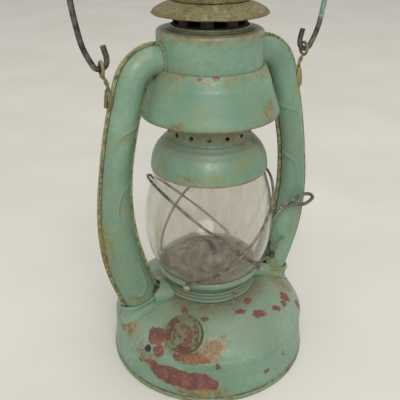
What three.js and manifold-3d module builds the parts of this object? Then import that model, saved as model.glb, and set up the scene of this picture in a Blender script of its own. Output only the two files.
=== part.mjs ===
// A small tubular barn lantern: a wide oil fount with two side tubes that bow out round a glass
// globe, a canopy and a sliding chimney above it, a wire bail, and a wire lever that lifts the globe.
// Millimetres, +Z up. The origin is the centre of the base. The side tubes lie along X and the
// filler cap faces -X and -Y. Sheet metal is drawn 1 to 1.2 mm thick.
import * as THREE from 'three';
import { mergeVertices } from 'three/addons/utils/BufferGeometryUtils.js';
import Module from 'manifold-3d';

const wasm = await Module();
wasm.setup();

// ---------------------------------------------------------------- driving dimensions
const ROUND = 32; // facets round the large spun pieces
const SMALL_ROUND = 20; // facets round the small ones
const SHEET = 1.2; // wall of the large pressings
const THIN_SHEET = 1; // wall of the chimney and cap
const GAP = 0.3; // clearance where two pieces touch

const BASE_RADIUS = 81;
const RIM_HEIGHT = 3.4;
const SHOULDER_RADIUS = 78.4;
const SHOULDER_HEIGHT = 33;
const DECK_RADIUS = 36; // where the fount's dome meets its flat deck
const DECK_HEIGHT = 60.2;
const MOUTH_RADIUS = 33.5; // opening in the deck under the burner

const FILLER_AZIMUTH = THREE.MathUtils.degToRad(-129.5);
const FILLER_LEAN = THREE.MathUtils.degToRad(46); // from the vertical
const FILLER_REACH = 64.5;
const FILLER_HEIGHT = 50.2;
const FILLER_BORE = 10.3;
const NECK_TOP = 8.6; // above the dome, along the filler's own axis
const CAP_RADIUS = 13.8;
const CAP_CEILING = 10.4; // inside the cap, above the gasket

const PLATE_HEIGHT = 76.4; // underside of the globe plate
const PLATE_THICKNESS = 1.1;
const PLATE_BORE = 20.3;
const PLATE_RIM = 41.4;
const GLOBE_WALL = 1.8;

const GUARD_WIRE = 1.2; // radii of the wires
const LEVER_WIRE = 1.5;
const BAIL_WIRE = 1.9;

const DRUM_RADIUS = 37.2;
const DRUM_TOP = 264.3;
const FLUE_RADIUS = 25.4;
const TUBE_ENTRY = 244; // height where the tubes join the drum

const EAR_REACH = 77.4; // the bail's hinge line runs along X through both ears
const EAR_HEIGHT = 243.4;
const BAIL_SHOULDER = 295; // height where the bail's legs turn into its arch
const BAIL_HALF_WIDTH = 93.5;
const BAIL_RISE = 90;

// ---------------------------------------------------------------- looks
const ENAMEL = { color: 0x8aaa8c, roughness: 0.42, metalness: 0.1 };
const STAINED_ENAMEL = { color: 0x97a07c, roughness: 0.6, metalness: 0.1 };
const WEATHERED = { color: 0xa39a78, roughness: 0.75, metalness: 0.2 };
const SOOT = { color: 0x1d1a17, roughness: 0.9, metalness: 0.2 };
const BARE_STEEL = { color: 0x4a4744, roughness: 0.5, metalness: 0.8 };
const DULL_TIN = { color: 0x8b857c, roughness: 0.55, metalness: 0.7 };
const BRASS = { color: 0x8d8350, roughness: 0.5, metalness: 0.7 };
const RUBBER = { color: 0x2b2724, roughness: 0.9, metalness: 0 };
const COTTON = { color: 0xcfc4a6, roughness: 0.95, metalness: 0 };
const GLASS = { color: 0xe6e9e2, roughness: 0.08, metalness: 0, transparent: true, opacity: 0.3 };

// ---------------------------------------------------------------- solids
function signedVolume(geometry) {
  const at = geometry.attributes.position;
  const corners = geometry.index.array;
  const [a, b, c] = [new THREE.Vector3(), new THREE.Vector3(), new THREE.Vector3()];
  let volume = 0;
  for (let i = 0; i < corners.length; i += 3) {
    a.fromBufferAttribute(at, corners[i]);
    b.fromBufferAttribute(at, corners[i + 1]);
    c.fromBufferAttribute(at, corners[i + 2]);
    volume += a.dot(b.cross(c)) / 6;
  }
  return volume;
}

// Welds shared corners, drops collapsed triangles and turns the faces outwards.
function solid(geometry) {
  const bare = geometry.clone();
  bare.deleteAttribute('normal');
  bare.deleteAttribute('uv');
  const joined = mergeVertices(bare, 1e-4);
  const corners = joined.index.array;
  const kept = [];
  for (let i = 0; i < corners.length; i += 3) {
    const [a, b, c] = [corners[i], corners[i + 1], corners[i + 2]];
    if (a !== b && b !== c && c !== a) kept.push(a, b, c);
  }
  joined.setIndex(kept);
  if (signedVolume(joined) < 0) joined.setIndex(kept.reverse());
  return joined;
}

function toManifold(geometry) {
  const vertProperties = new Float32Array(geometry.attributes.position.array);
  const triVerts = new Uint32Array(geometry.index.array);
  return new wasm.Manifold(new wasm.Mesh({ numProp: 3, vertProperties, triVerts }));
}

function fromManifold(body) {
  const mesh = body.getMesh();
  const geometry = new THREE.BufferGeometry();
  geometry.setAttribute('position', new THREE.BufferAttribute(mesh.vertProperties, 3));
  geometry.setIndex(new THREE.BufferAttribute(mesh.triVerts, 1));
  return geometry;
}

function cut(geometry, ...tools) {
  const left = tools.reduce((body, tool) => body.subtract(toManifold(tool)), toManifold(geometry));
  return fromManifold(left);
}

function join(first, ...others) {
  const whole = others.reduce((body, other) => body.add(toManifold(other)), toManifold(first));
  return fromManifold(whole);
}

// A profile of [radius, height] points turned about Z.
function spun(profile, facets = ROUND) {
  const points = profile.map((p) => (p.isVector2 ? p : new THREE.Vector2(p[0], p[1])));
  return solid(new THREE.LatheGeometry(points, facets).rotateX(Math.PI / 2));
}

// Closes an outer profile that runs downwards with a second one, a sheet's thickness inside it.
function thicken(outer, thickness) {
  const points = outer.map((p) => (p.isVector2 ? p : new THREE.Vector2(p[0], p[1])));
  const inner = points.map((point, i) => {
    const before = points[Math.max(i - 1, 0)];
    const after = points[Math.min(i + 1, points.length - 1)];
    const along = after.clone().sub(before).normalize();
    const inwards = new THREE.Vector2(along.y, -along.x);
    return point.clone().addScaledVector(inwards, thickness);
  });
  return [...points, ...inner.reverse(), points[0]];
}

function bezier(a, b, c, d, steps) {
  const [p, q, r, s] = [a, b, c, d].map((v) => new THREE.Vector2(...v));
  return new THREE.CubicBezierCurve(p, q, r, s).getPoints(steps);
}

function smooth(points, steps) {
  return new THREE.SplineCurve(points.map((v) => new THREE.Vector2(...v))).getPoints(steps);
}

function cylinder(radius, length, facets = SMALL_ROUND) {
  return solid(new THREE.CylinderGeometry(radius, radius, length, facets).rotateX(Math.PI / 2));
}

function box(x, y, z) {
  return solid(new THREE.BoxGeometry(x, y, z));
}

function ring(middleRadius, wireRadius, facets = 14, sides = 6) {
  const circle = [];
  for (let i = 0; i <= sides; i += 1) {
    const turn = (2 * Math.PI * (i % sides)) / sides;
    circle.push([middleRadius + wireRadius * Math.cos(turn), wireRadius * Math.sin(turn)]);
  }
  return spun(circle, facets);
}

// A round wire along a curve, or along a smooth line through [x, y, z] points.
function wire(route, radius, steps, sides = 6) {
  const path = Array.isArray(route)
    ? new THREE.CatmullRomCurve3(route.map((p) => new THREE.Vector3(...p)))
    : route;
  const section = [];
  for (let i = 0; i < sides; i += 1) {
    const turn = (2 * Math.PI * (i + 0.5)) / sides;
    section.push(new THREE.Vector2(radius * Math.cos(turn), radius * Math.sin(turn)));
  }
  return solid(new THREE.ExtrudeGeometry(new THREE.Shape(section), { steps, extrudePath: path }));
}

// ---------------------------------------------------------------- shared outlines
function fountOuter() {
  const dome = bezier([DECK_RADIUS, DECK_HEIGHT], [57, 57], [77.5, 46], [SHOULDER_RADIUS, SHOULDER_HEIGHT], 5);
  const crease = [77.9, 28];
  const belowCrease = [78.5, 25];
  const foot = [80.3, RIM_HEIGHT + GAP];
  return [[MOUTH_RADIUS, DECK_HEIGHT + 0.2], ...dome, crease, belowCrease, foot];
}

function skirtOuter() {
  return [[38.9, 238.6], [40.8, 236], [43.9, 228], [48.3, 214.5], [50.5, 207.6], [50.1, 205.8]];
}

// The solid envelope of the fount, a gap larger all round: what stands on it is cut by this.
const FOUNT_ENVELOPE = spun([
  [0, DECK_HEIGHT + 0.5],
  ...fountOuter().map((p) => (p.isVector2 ? [p.x, p.y] : p)).map(([r, z]) => [r + GAP, z + GAP]),
  [0, 0],
]);

const CANOPY_ENVELOPE = spun([
  [0, DRUM_TOP],
  [DRUM_RADIUS + GAP, DRUM_TOP],
  [DRUM_RADIUS + GAP, 240],
  ...skirtOuter().map(([r, z]) => [r + GAP, z + GAP]),
  [0, 205],
]);

// The side tube's middle line, on the +X side, from inside the drum to inside the fount.
const TUBE_ROUTE = new THREE.CatmullRomCurve3(
  [[30, 244], [44, 245.5], [55, 238], [62.7, 217], [72.6, 170], [75.2, 130], [71, 95], [57.6, 51.3], [53, 36]]
    .map(([x, z]) => new THREE.Vector3(x, 0, z)),
);

// The tube widens from its arch to its foot. Its seam flange reaches SEAM_REACH times the half width.
const SEAM_REACH = 1.19;
const tubeHalfWidth = (u) => 10.2 + 3.4 * THREE.MathUtils.smoothstep(u, 0.38, 0.8);
const tubeHalfDepth = (u) => 8.9 + 1.7 * THREE.MathUtils.smoothstep(u, 0.5, 0.9);

// Draws a unit-length extrusion out along the tube's middle line. The section's x runs outwards
// in the frame's plane, its y along Y, and scale(u) gives the factors for both.
function alongTube(section, from, to, steps, scale) {
  const straight = new THREE.ExtrudeGeometry(section, { depth: 1, steps, bevelEnabled: false });
  const at = straight.attributes.position;
  const point = new THREE.Vector3();
  for (let i = 0; i < at.count; i += 1) {
    point.fromBufferAttribute(at, i);
    const u = THREE.MathUtils.lerp(from, to, point.z);
    const middle = TUBE_ROUTE.getPointAt(u);
    const along = TUBE_ROUTE.getTangentAt(u);
    const [across, deep] = scale(u);
    const out = point.x * across;
    at.setXYZ(i, middle.x - along.z * out, point.y * deep, middle.z + along.x * out);
  }
  return solid(straight);
}

function oval(halfWidth, halfDepth, sides = 18) {
  const points = [];
  for (let i = 0; i < sides; i += 1) {
    const turn = (2 * Math.PI * i) / sides;
    points.push(new THREE.Vector2(halfWidth * Math.cos(turn), halfDepth * Math.sin(turn)));
  }
  return new THREE.Shape(points);
}

const mirroredX = (geometry) => solid(geometry.clone().scale(-1, 1, 1));
const mirroredY = (geometry) => solid(geometry.clone().scale(1, -1, 1));

// ---------------------------------------------------------------- fount
function fountShell() {
  const shell = spun(thicken(fountOuter(), SHEET));
  const fillerHole = placedOnFiller(cylinder(FILLER_BORE, 30));
  return cut(shell, fillerHole);
}

function fountBottom() {
  const rimInside = 78.4;
  const seat = 79;
  return spun([
    [0, 4.4],
    [75.6, 4.4],
    [77.4, 3.2],
    [rimInside, 0],
    [BASE_RADIUS - 0.4, 0],
    [BASE_RADIUS, 0.6],
    [BASE_RADIUS, RIM_HEIGHT - 0.5],
    [BASE_RADIUS - 0.5, RIM_HEIGHT],
    [seat, RIM_HEIGHT],
    [78.2, 5.6],
    [0, 5.6],
  ]);
}

function fillerMatrix() {
  const turned = new THREE.Matrix4().makeRotationFromEuler(
    new THREE.Euler(0, FILLER_LEAN, FILLER_AZIMUTH, 'ZYX'),
  );
  return turned.setPosition(
    FILLER_REACH * Math.cos(FILLER_AZIMUTH),
    FILLER_REACH * Math.sin(FILLER_AZIMUTH),
    FILLER_HEIGHT,
  );
}

function placedOnFiller(geometry) {
  return geometry.clone().applyMatrix4(fillerMatrix());
}

// The neck's flange is cut to the dome that it is soldered on.
function fillerNeck() {
  const flangeRadius = 16;
  const neckRadius = 11.9;
  const blank = spun([
    [FILLER_BORE, -6],
    [flangeRadius, -6],
    [flangeRadius, 2],
    [flangeRadius - 1.2, 3],
    [neckRadius, 3.2],
    [neckRadius, NECK_TOP],
    [FILLER_BORE, NECK_TOP],
    [FILLER_BORE, -6],
  ], SMALL_ROUND);
  const dome = FOUNT_ENVELOPE.clone().applyMatrix4(fillerMatrix().invert());
  return cut(blank, dome);
}

function fillerCap() {
  const inside = CAP_RADIUS - 1.2;
  return spun([
    [0, 13],
    [9.6, 12.7],
    [10.4, 12],
    [11.4, 12],
    [12.5, 12.8],
    [13.5, 12.1],
    [CAP_RADIUS, 11],
    [CAP_RADIUS, 4.2],
    [CAP_RADIUS - 0.5, 3.6],
    [inside, 3.6],
    [inside, CAP_CEILING],
    [0, CAP_CEILING],
  ], 28);
}

function fillerGasket() {
  const bottom = NECK_TOP + GAP;
  const top = CAP_CEILING - GAP;
  const outer = 12.2;
  return spun([
    [FILLER_BORE, bottom], [outer, bottom], [outer, top], [FILLER_BORE, top], [FILLER_BORE, bottom],
  ], SMALL_ROUND);
}

// ---------------------------------------------------------------- burner
// The burner's own heights are above the fount's deck.
function burnerCollar() {
  const bore = 30.5;
  return spun([
    [bore, 0.8], [37.4, 0.8], [37.6, 2], [36, 2.6], [36, 4.4], [35.2, 5], [bore, 5], [bore, 0.8],
  ], 28);
}

const SPINDLE_HEIGHT = 10.3;
const SPINDLE_OFFSET = 5.2; // beside the wick, along X

function burnerBody() {
  const cup = 32;
  const cupTop = 14.2;
  const blank = spun([
    [0, 5.3],
    [34.6, 5.3],
    [35, 6.3],
    [34.6, 7.3],
    [cup, 7.5],
    [cup, cupTop],
    [cup - SHEET, cupTop],
    [cup - SHEET, 6.7],
    [0, 6.7],
  ], 28);
  const wickHole = box(6.2, 18.6, 10).translate(0, 0, 6);
  const spindleHole = cylinder(1.9, 12, 12)
    .rotateX(Math.PI / 2)
    .translate(SPINDLE_OFFSET, cup, SPINDLE_HEIGHT);
  return cut(blank, wickHole, solid(spindleHole));
}

function wickTube() {
  const bottom = -15;
  const top = 29;
  const length = top - bottom;
  const outside = box(4.8, 17, length).translate(0, 0, bottom + length / 2);
  const inside = box(3, 15.2, length + 2).translate(0, 0, bottom + length / 2);
  const slots = [-5, 5].map((y) => box(3, 2.2, 9).translate(3, y, SPINDLE_HEIGHT));
  return cut(outside, inside, ...slots);
}

function wick() {
  const bottom = -46;
  const top = 30.6;
  return box(2.2, 14.4, top - bottom).translate(0, 0, (top + bottom) / 2);
}

// A rod with two toothed wheels that reach through the wick tube's slots.
function wickSpindle() {
  const inner = -9;
  const outer = 44;
  const rod = cylinder(1, outer - inner, 12).rotateX(Math.PI / 2).translate(0, (inner + outer) / 2, 0);
  const toothed = new THREE.Shape();
  const teeth = 12;
  for (let i = 0; i < 2 * teeth; i += 1) {
    const turn = (Math.PI * i) / teeth;
    const reach = i % 2 ? 2.7 : 3.4;
    const [x, y] = [reach * Math.cos(turn), reach * Math.sin(turn)];
    if (i) toothed.lineTo(x, y);
    else toothed.moveTo(x, y);
  }
  const wheel = solid(
    new THREE.ExtrudeGeometry(toothed, { depth: 1.2, bevelEnabled: false }).rotateX(Math.PI / 2),
  );
  const wheels = [-4.4, 5.6].map((y) => wheel.clone().translate(0, y, 0));
  return join(rod, ...wheels);
}

function wickKnob() {
  const lobes = 14;
  const outline = [];
  for (let i = 0; i < 2 * lobes; i += 1) {
    const turn = (Math.PI * i) / lobes;
    const reach = i % 2 ? 6.5 : 7.1;
    outline.push(new THREE.Vector2(reach * Math.cos(turn), reach * Math.sin(turn)));
  }
  const disc = solid(
    new THREE.ExtrudeGeometry(new THREE.Shape(outline), { depth: 3, bevelEnabled: false }).rotateX(-Math.PI / 2),
  );
  const hub = cylinder(2.8, 2, 16).rotateX(Math.PI / 2).translate(0, 3.6, 0);
  return join(disc, solid(hub));
}

function burnerCone() {
  const flange = 31.6;
  const flangeHeight = 14.6;
  const outside = bezier([0, 35.4], [10, 34.8], [18.8, 26], [19.2, 16.6], 5);
  const inside = bezier([18.2, 16.6], [17.8, 25], [9.4, 33.8], [0, 34.4], 5);
  const foot = [[19.6, 15.5], [flange, 15.4], [flange, flangeHeight], [18.4, flangeHeight]];
  const shell = spun([...outside, ...foot, ...inside], SMALL_ROUND);
  const flameSlot = box(5, 17.6, 20).translate(0, 0, 38);
  return cut(shell, flameSlot);
}

// ---------------------------------------------------------------- globe carriage
function globePlate() {
  const top = PLATE_THICKNESS;
  const plate = spun([
    [PLATE_BORE, 0],
    [39, 0],
    [40.3, -0.9],
    [PLATE_RIM, -0.2],
    [PLATE_RIM, 2.2],
    [40.6, 3.2],
    [39.7, 3.6],
    [39.2, 2.8],
    [39.2, top],
    [PLATE_BORE, top],
    [PLATE_BORE, 0],
  ]);
  const vents = [];
  const ventCount = 10;
  for (let i = 0; i < ventCount; i += 1) {
    const turn = (2 * Math.PI * i) / ventCount;
    vents.push(cylinder(2.6, 6, 6).translate(29 * Math.cos(turn), 29 * Math.sin(turn), 0));
  }
  return cut(plate, ...vents);
}

function globeGlass() {
  const outer = smooth([[40.6, 168.5], [41.6, 163], [47.6, 142], [50.3, 117], [47, 94], [38, 78]], 8);
  return spun(thicken(outer, GLOBE_WALL));
}

// Each guard is a flat oval hoop, leaning over sideways: high beside one tube, its two ends low
// beside the other. leansTo is -1 or 1, the side where it is high.
const GUARD_TILT = THREE.MathUtils.degToRad(43.5);
const GUARD_CROSSING = 112.5;
const GUARD_LENGTH = 58;
const GUARD_SHIFT = 5;
const GUARD_END = THREE.MathUtils.degToRad(148);

function guardPoint(turn, halfWidth, leansTo) {
  const up = GUARD_SHIFT + GUARD_LENGTH * Math.cos(turn);
  return new THREE.Vector3(
    leansTo * Math.cos(GUARD_TILT) * up,
    halfWidth * Math.sin(turn),
    GUARD_CROSSING + Math.sin(GUARD_TILT) * up,
  );
}

class GuardCurve extends THREE.Curve {
  constructor(halfWidth, leansTo) {
    super();
    this.halfWidth = halfWidth;
    this.leansTo = leansTo;
  }

  getPoint(t, target = new THREE.Vector3()) {
    const turn = THREE.MathUtils.lerp(-GUARD_END, GUARD_END, t);
    return target.copy(guardPoint(turn, this.halfWidth, this.leansTo));
  }
}

const guardHoop = (halfWidth, leansTo) => wire(new GuardCurve(halfWidth, leansTo), GUARD_WIRE, 28);

// A tin clip on the plate's rim, under one end of a guard hoop.
function guardClip() {
  const outline = new THREE.Shape();
  outline.absarc(0, 0, 2.7, 0, Math.PI * 2);
  const clip = new THREE.ExtrudeGeometry(outline, { depth: 4.4, bevelEnabled: false, curveSegments: 6 });
  const rim = cylinder(PLATE_RIM + GAP, 20, ROUND);
  return { blank: solid(clip), rim };
}

function guardClipAt(halfWidth, leansTo, end) {
  const tip = guardPoint(end * GUARD_END, halfWidth, leansTo);
  const { blank, rim } = guardClip();
  const drawnOut = 1.6;
  const reach = Math.hypot(tip.x, tip.y) + drawnOut;
  const turn = Math.atan2(tip.y, tip.x);
  const placed = blank.translate(reach * Math.cos(turn), reach * Math.sin(turn), PLATE_HEIGHT - 0.4);
  return cut(placed, rim.translate(0, 0, PLATE_HEIGHT));
}

// ---------------------------------------------------------------- globe lift
// The lever lies in a plane in front of the +X tube and turns about a pin along Y.
const LEVER_PLANE = -14.5;
const LEVER_PIVOT = [51, 78];
const LOOP_CENTRE = [79.5, 123.4];

function liftLever() {
  const fromPivot = ([x, z]) => [x - LEVER_PIVOT[0], 0, z - LEVER_PIVOT[1]];
  const eye = ring(2.9, LEVER_WIRE).rotateX(Math.PI / 2);
  const inner = [[48.9, 76.6], [44, 74.2], [37.6, 73.3]].map(fromPivot);
  const outer = [
    [50.6, 80.2], [49.6, 88], [49.6, 98], [50.6, 110], [55, 116.4], [64, 121.6], [69.5, 122.4],
  ].map(fromPivot);
  const [loopX, , loopZ] = fromPivot(LOOP_CENTRE);
  const loop = ring(4.2, LEVER_WIRE, 18).rotateX(Math.PI / 2).scale(1.9, 1, 0.95).translate(loopX, 0, loopZ);
  return join(solid(eye), wire(inner, LEVER_WIRE, 5), wire(outer, LEVER_WIRE, 18), solid(loop));
}

// A strap soldered to the front of the tube holds the lever's pin.
function leverStrap() {
  const thickness = 0.8;
  const outline = new THREE.Shape();
  const [x, z] = LEVER_PIVOT;
  outline.absarc(x, z, 2.4, Math.PI * 0.7, Math.PI * 1.7, false);
  outline.lineTo(66.4, 87.4);
  outline.lineTo(64.6, 90);
  const strap = new THREE.ExtrudeGeometry(outline, { depth: thickness, bevelEnabled: false, curveSegments: 6 });
  const back = LEVER_PLANE + LEVER_WIRE + GAP;
  return solid(strap.rotateX(Math.PI / 2).translate(0, back + thickness, 0));
}

function leverPin() {
  const head = 2.6;
  const pin = cylinder(1.1, 4.2, 14).rotateX(Math.PI / 2).translate(0, -2.1, 0);
  const cap = cylinder(head, 1, 16).rotateX(Math.PI / 2).translate(0, -4.5, 0);
  return join(solid(pin), solid(cap));
}

// ---------------------------------------------------------------- side tubes
// The doorway low in the tube's inner side, where its air goes on into the duct.
function airDoor() {
  const [inner, outer, halfWidth, bottom, top] = [34, 52, 7.5, 45, 66.5];
  return box(outer - inner, 2 * halfWidth, top - bottom)
    .translate((outer + inner) / 2, 0, (top + bottom) / 2);
}

// Half of a tube: a trough with a narrow seam flange along both edges.
function tubeTrough() {
  const [halfWidth, halfDepth] = [11, 8.8];
  const seam = 0.2; // half of the gap between the two halves
  const flangeEdge = halfWidth * SEAM_REACH;
  const flange = 1;
  const steps = 5;
  const arc = (width, depth, lowest) => {
    const first = Math.asin(lowest / depth);
    const points = [];
    for (let i = 0; i <= steps; i += 1) {
      const turn = THREE.MathUtils.lerp(first, Math.PI - first, i / steps);
      points.push([width * Math.cos(turn), -depth * Math.sin(turn)]);
    }
    return points;
  };
  const outline = [
    [flangeEdge, -seam],
    [flangeEdge, -seam - flange],
    ...arc(halfWidth, halfDepth, seam + flange),
    [-flangeEdge, -seam - flange],
    [-flangeEdge, -seam],
    ...arc(halfWidth - SHEET, halfDepth - SHEET, seam).reverse(),
  ];
  const section = new THREE.Shape(outline.map(([x, y]) => new THREE.Vector2(x, y)));
  const scale = (u) => [tubeHalfWidth(u) / halfWidth, tubeHalfDepth(u) / halfDepth];
  return cut(alongTube(section, 0, 1, 18, scale), FOUNT_ENVELOPE, CANOPY_ENVELOPE, airDoor());
}

// A flared saddle collar where the tube stands on the fount. COLLAR_TOP is along the tube, as a
// share of its length; the collar's bore starts a little above it.
const COLLAR_TOP = 0.9;
const COLLAR_BORE_TOP = 0.86;

function footSection(u, clearance) {
  return [tubeHalfWidth(u) * (SEAM_REACH + 0.02) + clearance, tubeHalfDepth(u) + clearance];
}

function tubeFoot() {
  const flare = (u) => 1.6 + 1.9 * THREE.MathUtils.smoothstep(u, COLLAR_TOP, 0.95);
  const unit = oval(1, 1);
  const blank = alongTube(unit, COLLAR_TOP, 1, 4, (u) => footSection(u, flare(u)));
  const bore = alongTube(unit, COLLAR_BORE_TOP, 1, 5, (u) => footSection(u, GAP));
  return cut(blank, bore, FOUNT_ENVELOPE, airDoor());
}

// A low rounded duct from the tube's foot to the burner collar carries the air across the deck.
function airDuct() {
  const [start, length, middleHeight] = [36, 16, 56.5];
  const [halfWidth, rise, collarRadius] = [14, 11.5, 37.6];
  const tunnel = (wall, overrun) => {
    const depth = length + 2 * overrun;
    const section = oval(rise - wall, halfWidth - wall);
    const straight = new THREE.ExtrudeGeometry(section, { depth, bevelEnabled: false });
    return solid(straight.rotateY(Math.PI / 2).translate(start - overrun, 0, middleHeight));
  };
  const footClearance = 3.5 + GAP;
  const foot = alongTube(oval(1, 1), COLLAR_BORE_TOP, 1, 5, (u) => footSection(u, footClearance));
  const burnerCollarSpace = cylinder(collarRadius + GAP, 60, ROUND).translate(0, 0, DECK_HEIGHT);
  return cut(tunnel(0, 0), tunnel(THIN_SHEET, 1), foot, burnerCollarSpace, FOUNT_ENVELOPE);
}

// ---------------------------------------------------------------- canopy
function canopyDrum() {
  const shoulder = [[27, DRUM_TOP], [34.6, DRUM_TOP], [36.6, DRUM_TOP - 0.9], [DRUM_RADIUS, DRUM_TOP - 2.6]];
  const blank = spun(thicken([...shoulder, [DRUM_RADIUS, 250], [DRUM_RADIUS, 232.5]], SHEET));
  const air = solid(cylinder(8.4, 120, 14).rotateY(Math.PI / 2).translate(0, 0, TUBE_ENTRY + 0.8));
  return cut(blank, air);
}

const canopySkirt = () => spun(thicken(skirtOuter(), SHEET));

function canopyCollar() {
  const [inside, outside, bottom] = [26.2, 28.4, DRUM_TOP + GAP];
  return spun([
    [inside, bottom],
    [outside + 1.6, bottom],
    [outside + 1.6, bottom + 0.8],
    [outside - 1, bottom + 1.2],
    [inside + 1.2, bottom + 3],
    [inside, bottom + 3],
    [inside, bottom],
  ], 28);
}

// ---------------------------------------------------------------- chimney
function bell() {
  const shoulder = bezier([30.8, 190.4], [31.6, 184.6], [43, 183], [43.9, 165.6], 5);
  const outer = [[25.9, 199.8], [30, 199.6], [30.8, 198.6], ...shoulder, [44, 163.6]];
  const holes = [];
  const holeCount = 15;
  const firstHole = THREE.MathUtils.degToRad(4.7);
  for (let i = 0; i < holeCount; i += 1) {
    const turn = firstHole + (2 * Math.PI * i) / holeCount;
    const drill = cylinder(1.7, 8, 6).rotateY(Math.PI / 2).translate(30.6, 0, 193.8).rotateZ(turn);
    holes.push(solid(drill));
  }
  return cut(spun(thicken(outer, THIN_SHEET)), ...holes);
}

function flue() {
  const [bottom, top] = [196.4, 280.2];
  const inside = FLUE_RADIUS - THIN_SHEET;
  const pipe = spun([
    [inside, bottom], [FLUE_RADIUS, bottom], [FLUE_RADIUS, top], [inside, top], [inside, bottom],
  ], 28);
  const windows = [];
  const windowCount = 9;
  for (let i = 0; i < windowCount; i += 1) {
    const turn = (2 * Math.PI * (i + 0.5)) / windowCount;
    windows.push(solid(box(6, 9, 5.4).translate(FLUE_RADIUS, 0, 270.4).rotateZ(turn)));
  }
  return cut(pipe, ...windows);
}

function capBrim() {
  const outer = [[21.5, 283], [27, 281.6], [33.4, 279.2], [38.4, 276.4], [40.1, 274.2]];
  return spun(thicken(outer, THIN_SHEET));
}

function capCrown() {
  const dome = bezier([0, 293.4], [14, 293.2], [25.4, 291.4], [26.3, 285], 5);
  const inside = bezier([0, 292.4], [13.6, 292.2], [24.4, 290.4], [25.3, 285], 5).reverse();
  return spun([...dome, [26.3, 282.4], [25.3, 282.7], ...inside], 28);
}

function capLoop() {
  return wire([
    [-8, 0, 293.6], [-8.2, 0, 298], [-5.8, 0, 303.2], [0, 0, 305.4], [5.8, 0, 303.2], [8.2, 0, 298], [8, 0, 293.6],
  ], 1.3, 14);
}

// ---------------------------------------------------------------- ears and bail
// The ear on the +X tube: an eye that stands across X, on a stem that runs down the tube's seam.
function ear() {
  const eye = solid(ring(4.5, 1.15, 16).rotateY(Math.PI / 2).translate(EAR_REACH, 0, EAR_HEIGHT));
  const stem = wire([
    [EAR_REACH, 0, EAR_HEIGHT - 4.4],
    [75.5, 0, 234],
    [74.4, 0, 227],
    [76.3, 0, 219.6],
  ], 1.5, 8);
  const pad = solid(box(2, 5, 9).rotateY(-0.28).translate(76.4, 0, 220));
  return join(eye, stem, pad);
}

// One half of the bail's line: a hook through the ear, a leg, and a quarter of the arch.
function bailHalf() {
  const lean = THREE.MathUtils.degToRad(12);
  const hookRadius = 5.2;
  const hookMiddle = [EAR_REACH + hookRadius * Math.sin(lean), EAR_HEIGHT + hookRadius * Math.cos(lean)];
  const hookPoint = (degrees) => {
    const turn = THREE.MathUtils.degToRad(degrees) - lean;
    return [hookMiddle[0] + hookRadius * Math.cos(turn), 0, hookMiddle[1] + hookRadius * Math.sin(turn)];
  };
  const inner = hookPoint(180);
  const freeEnd = [inner[0] + 1.9, 0, inner[2] + 8.4];
  const hook = [freeEnd, inner, hookPoint(225), hookPoint(270), hookPoint(315), hookPoint(360)];
  const leg = [[EAR_REACH + 10.6, 0, 257], [90.6, 0, 268]];
  const arch = [];
  const archSteps = 5;
  for (let i = 0; i < archSteps; i += 1) {
    const turn = (Math.PI * i) / (2 * archSteps);
    arch.push([BAIL_HALF_WIDTH * Math.cos(turn), 0, BAIL_SHOULDER + BAIL_RISE * Math.sin(turn)]);
  }
  return [...hook, ...leg, ...arch];
}

function bail() {
  const right = bailHalf();
  const left = right.map(([x, y, z]) => [-x, y, z]).reverse();
  const top = [0, 0, BAIL_SHOULDER + BAIL_RISE];
  const fromHinge = [...right, top, ...left].map(([x, y, z]) => [x, y, z - EAR_HEIGHT]);
  return wire(fromHinge, BAIL_WIRE, 60);
}

// ---------------------------------------------------------------- the scene graph
function part(name, geometry, look, position = [0, 0, 0]) {
  geometry.computeVertexNormals();
  const mesh = new THREE.Mesh(geometry, new THREE.MeshStandardMaterial(look));
  mesh.name = name;
  mesh.position.set(...position);
  return mesh;
}

function group(children, position = [0, 0, 0]) {
  const holder = new THREE.Group();
  holder.position.set(...position);
  holder.add(...children);
  return holder;
}

function filler() {
  const holder = group([
    part('filler_neck', fillerNeck(), STAINED_ENAMEL),
    part('filler_gasket', fillerGasket(), RUBBER),
    part('filler_cap', fillerCap(), STAINED_ENAMEL),
  ]);
  holder.applyMatrix4(fillerMatrix());
  return holder;
}

function burner() {
  const spindleLine = [SPINDLE_OFFSET, 0, SPINDLE_HEIGHT];
  return group([
    part('burner_collar', burnerCollar(), STAINED_ENAMEL),
    part('burner_body', burnerBody(), BRASS),
    part('wick_tube', wickTube(), BRASS),
    part('wick', wick(), COTTON),
    part('wick_spindle', wickSpindle(), BRASS, spindleLine),
    part('wick_knob', wickKnob(), BRASS, [SPINDLE_OFFSET, 44 + GAP, SPINDLE_HEIGHT]),
    part('burner_cone', burnerCone(), DULL_TIN),
  ], [0, 0, DECK_HEIGHT]);
}

function carriage() {
  const [narrow, wide] = [53.5, 56.2];
  const clips = [];
  for (const [side, halfWidth, leansTo] of [['left', narrow, -1], ['right', wide, 1]]) {
    for (const [place, end] of [['front', -1], ['back', 1]]) {
      clips.push(part(`guard_clip_${side}_${place}`, guardClipAt(halfWidth, leansTo, end), DULL_TIN));
    }
  }
  return group([
    part('globe_plate', globePlate(), DULL_TIN, [0, 0, PLATE_HEIGHT]),
    part('globe', globeGlass(), GLASS),
    part('guard_hoop_left', guardHoop(narrow, -1), BARE_STEEL),
    part('guard_hoop_right', guardHoop(wide, 1), BARE_STEEL),
    ...clips,
  ]);
}

function globeLift() {
  const [x, z] = LEVER_PIVOT;
  const strapFace = LEVER_PLANE + LEVER_WIRE;
  return group([
    part('lift_lever', liftLever(), BARE_STEEL, [x, LEVER_PLANE, z]),
    part('lift_strap', leverStrap(), BARE_STEEL),
    part('lift_pin', leverPin(), BARE_STEEL, [x, strapFace, z]),
  ]);
}

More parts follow.
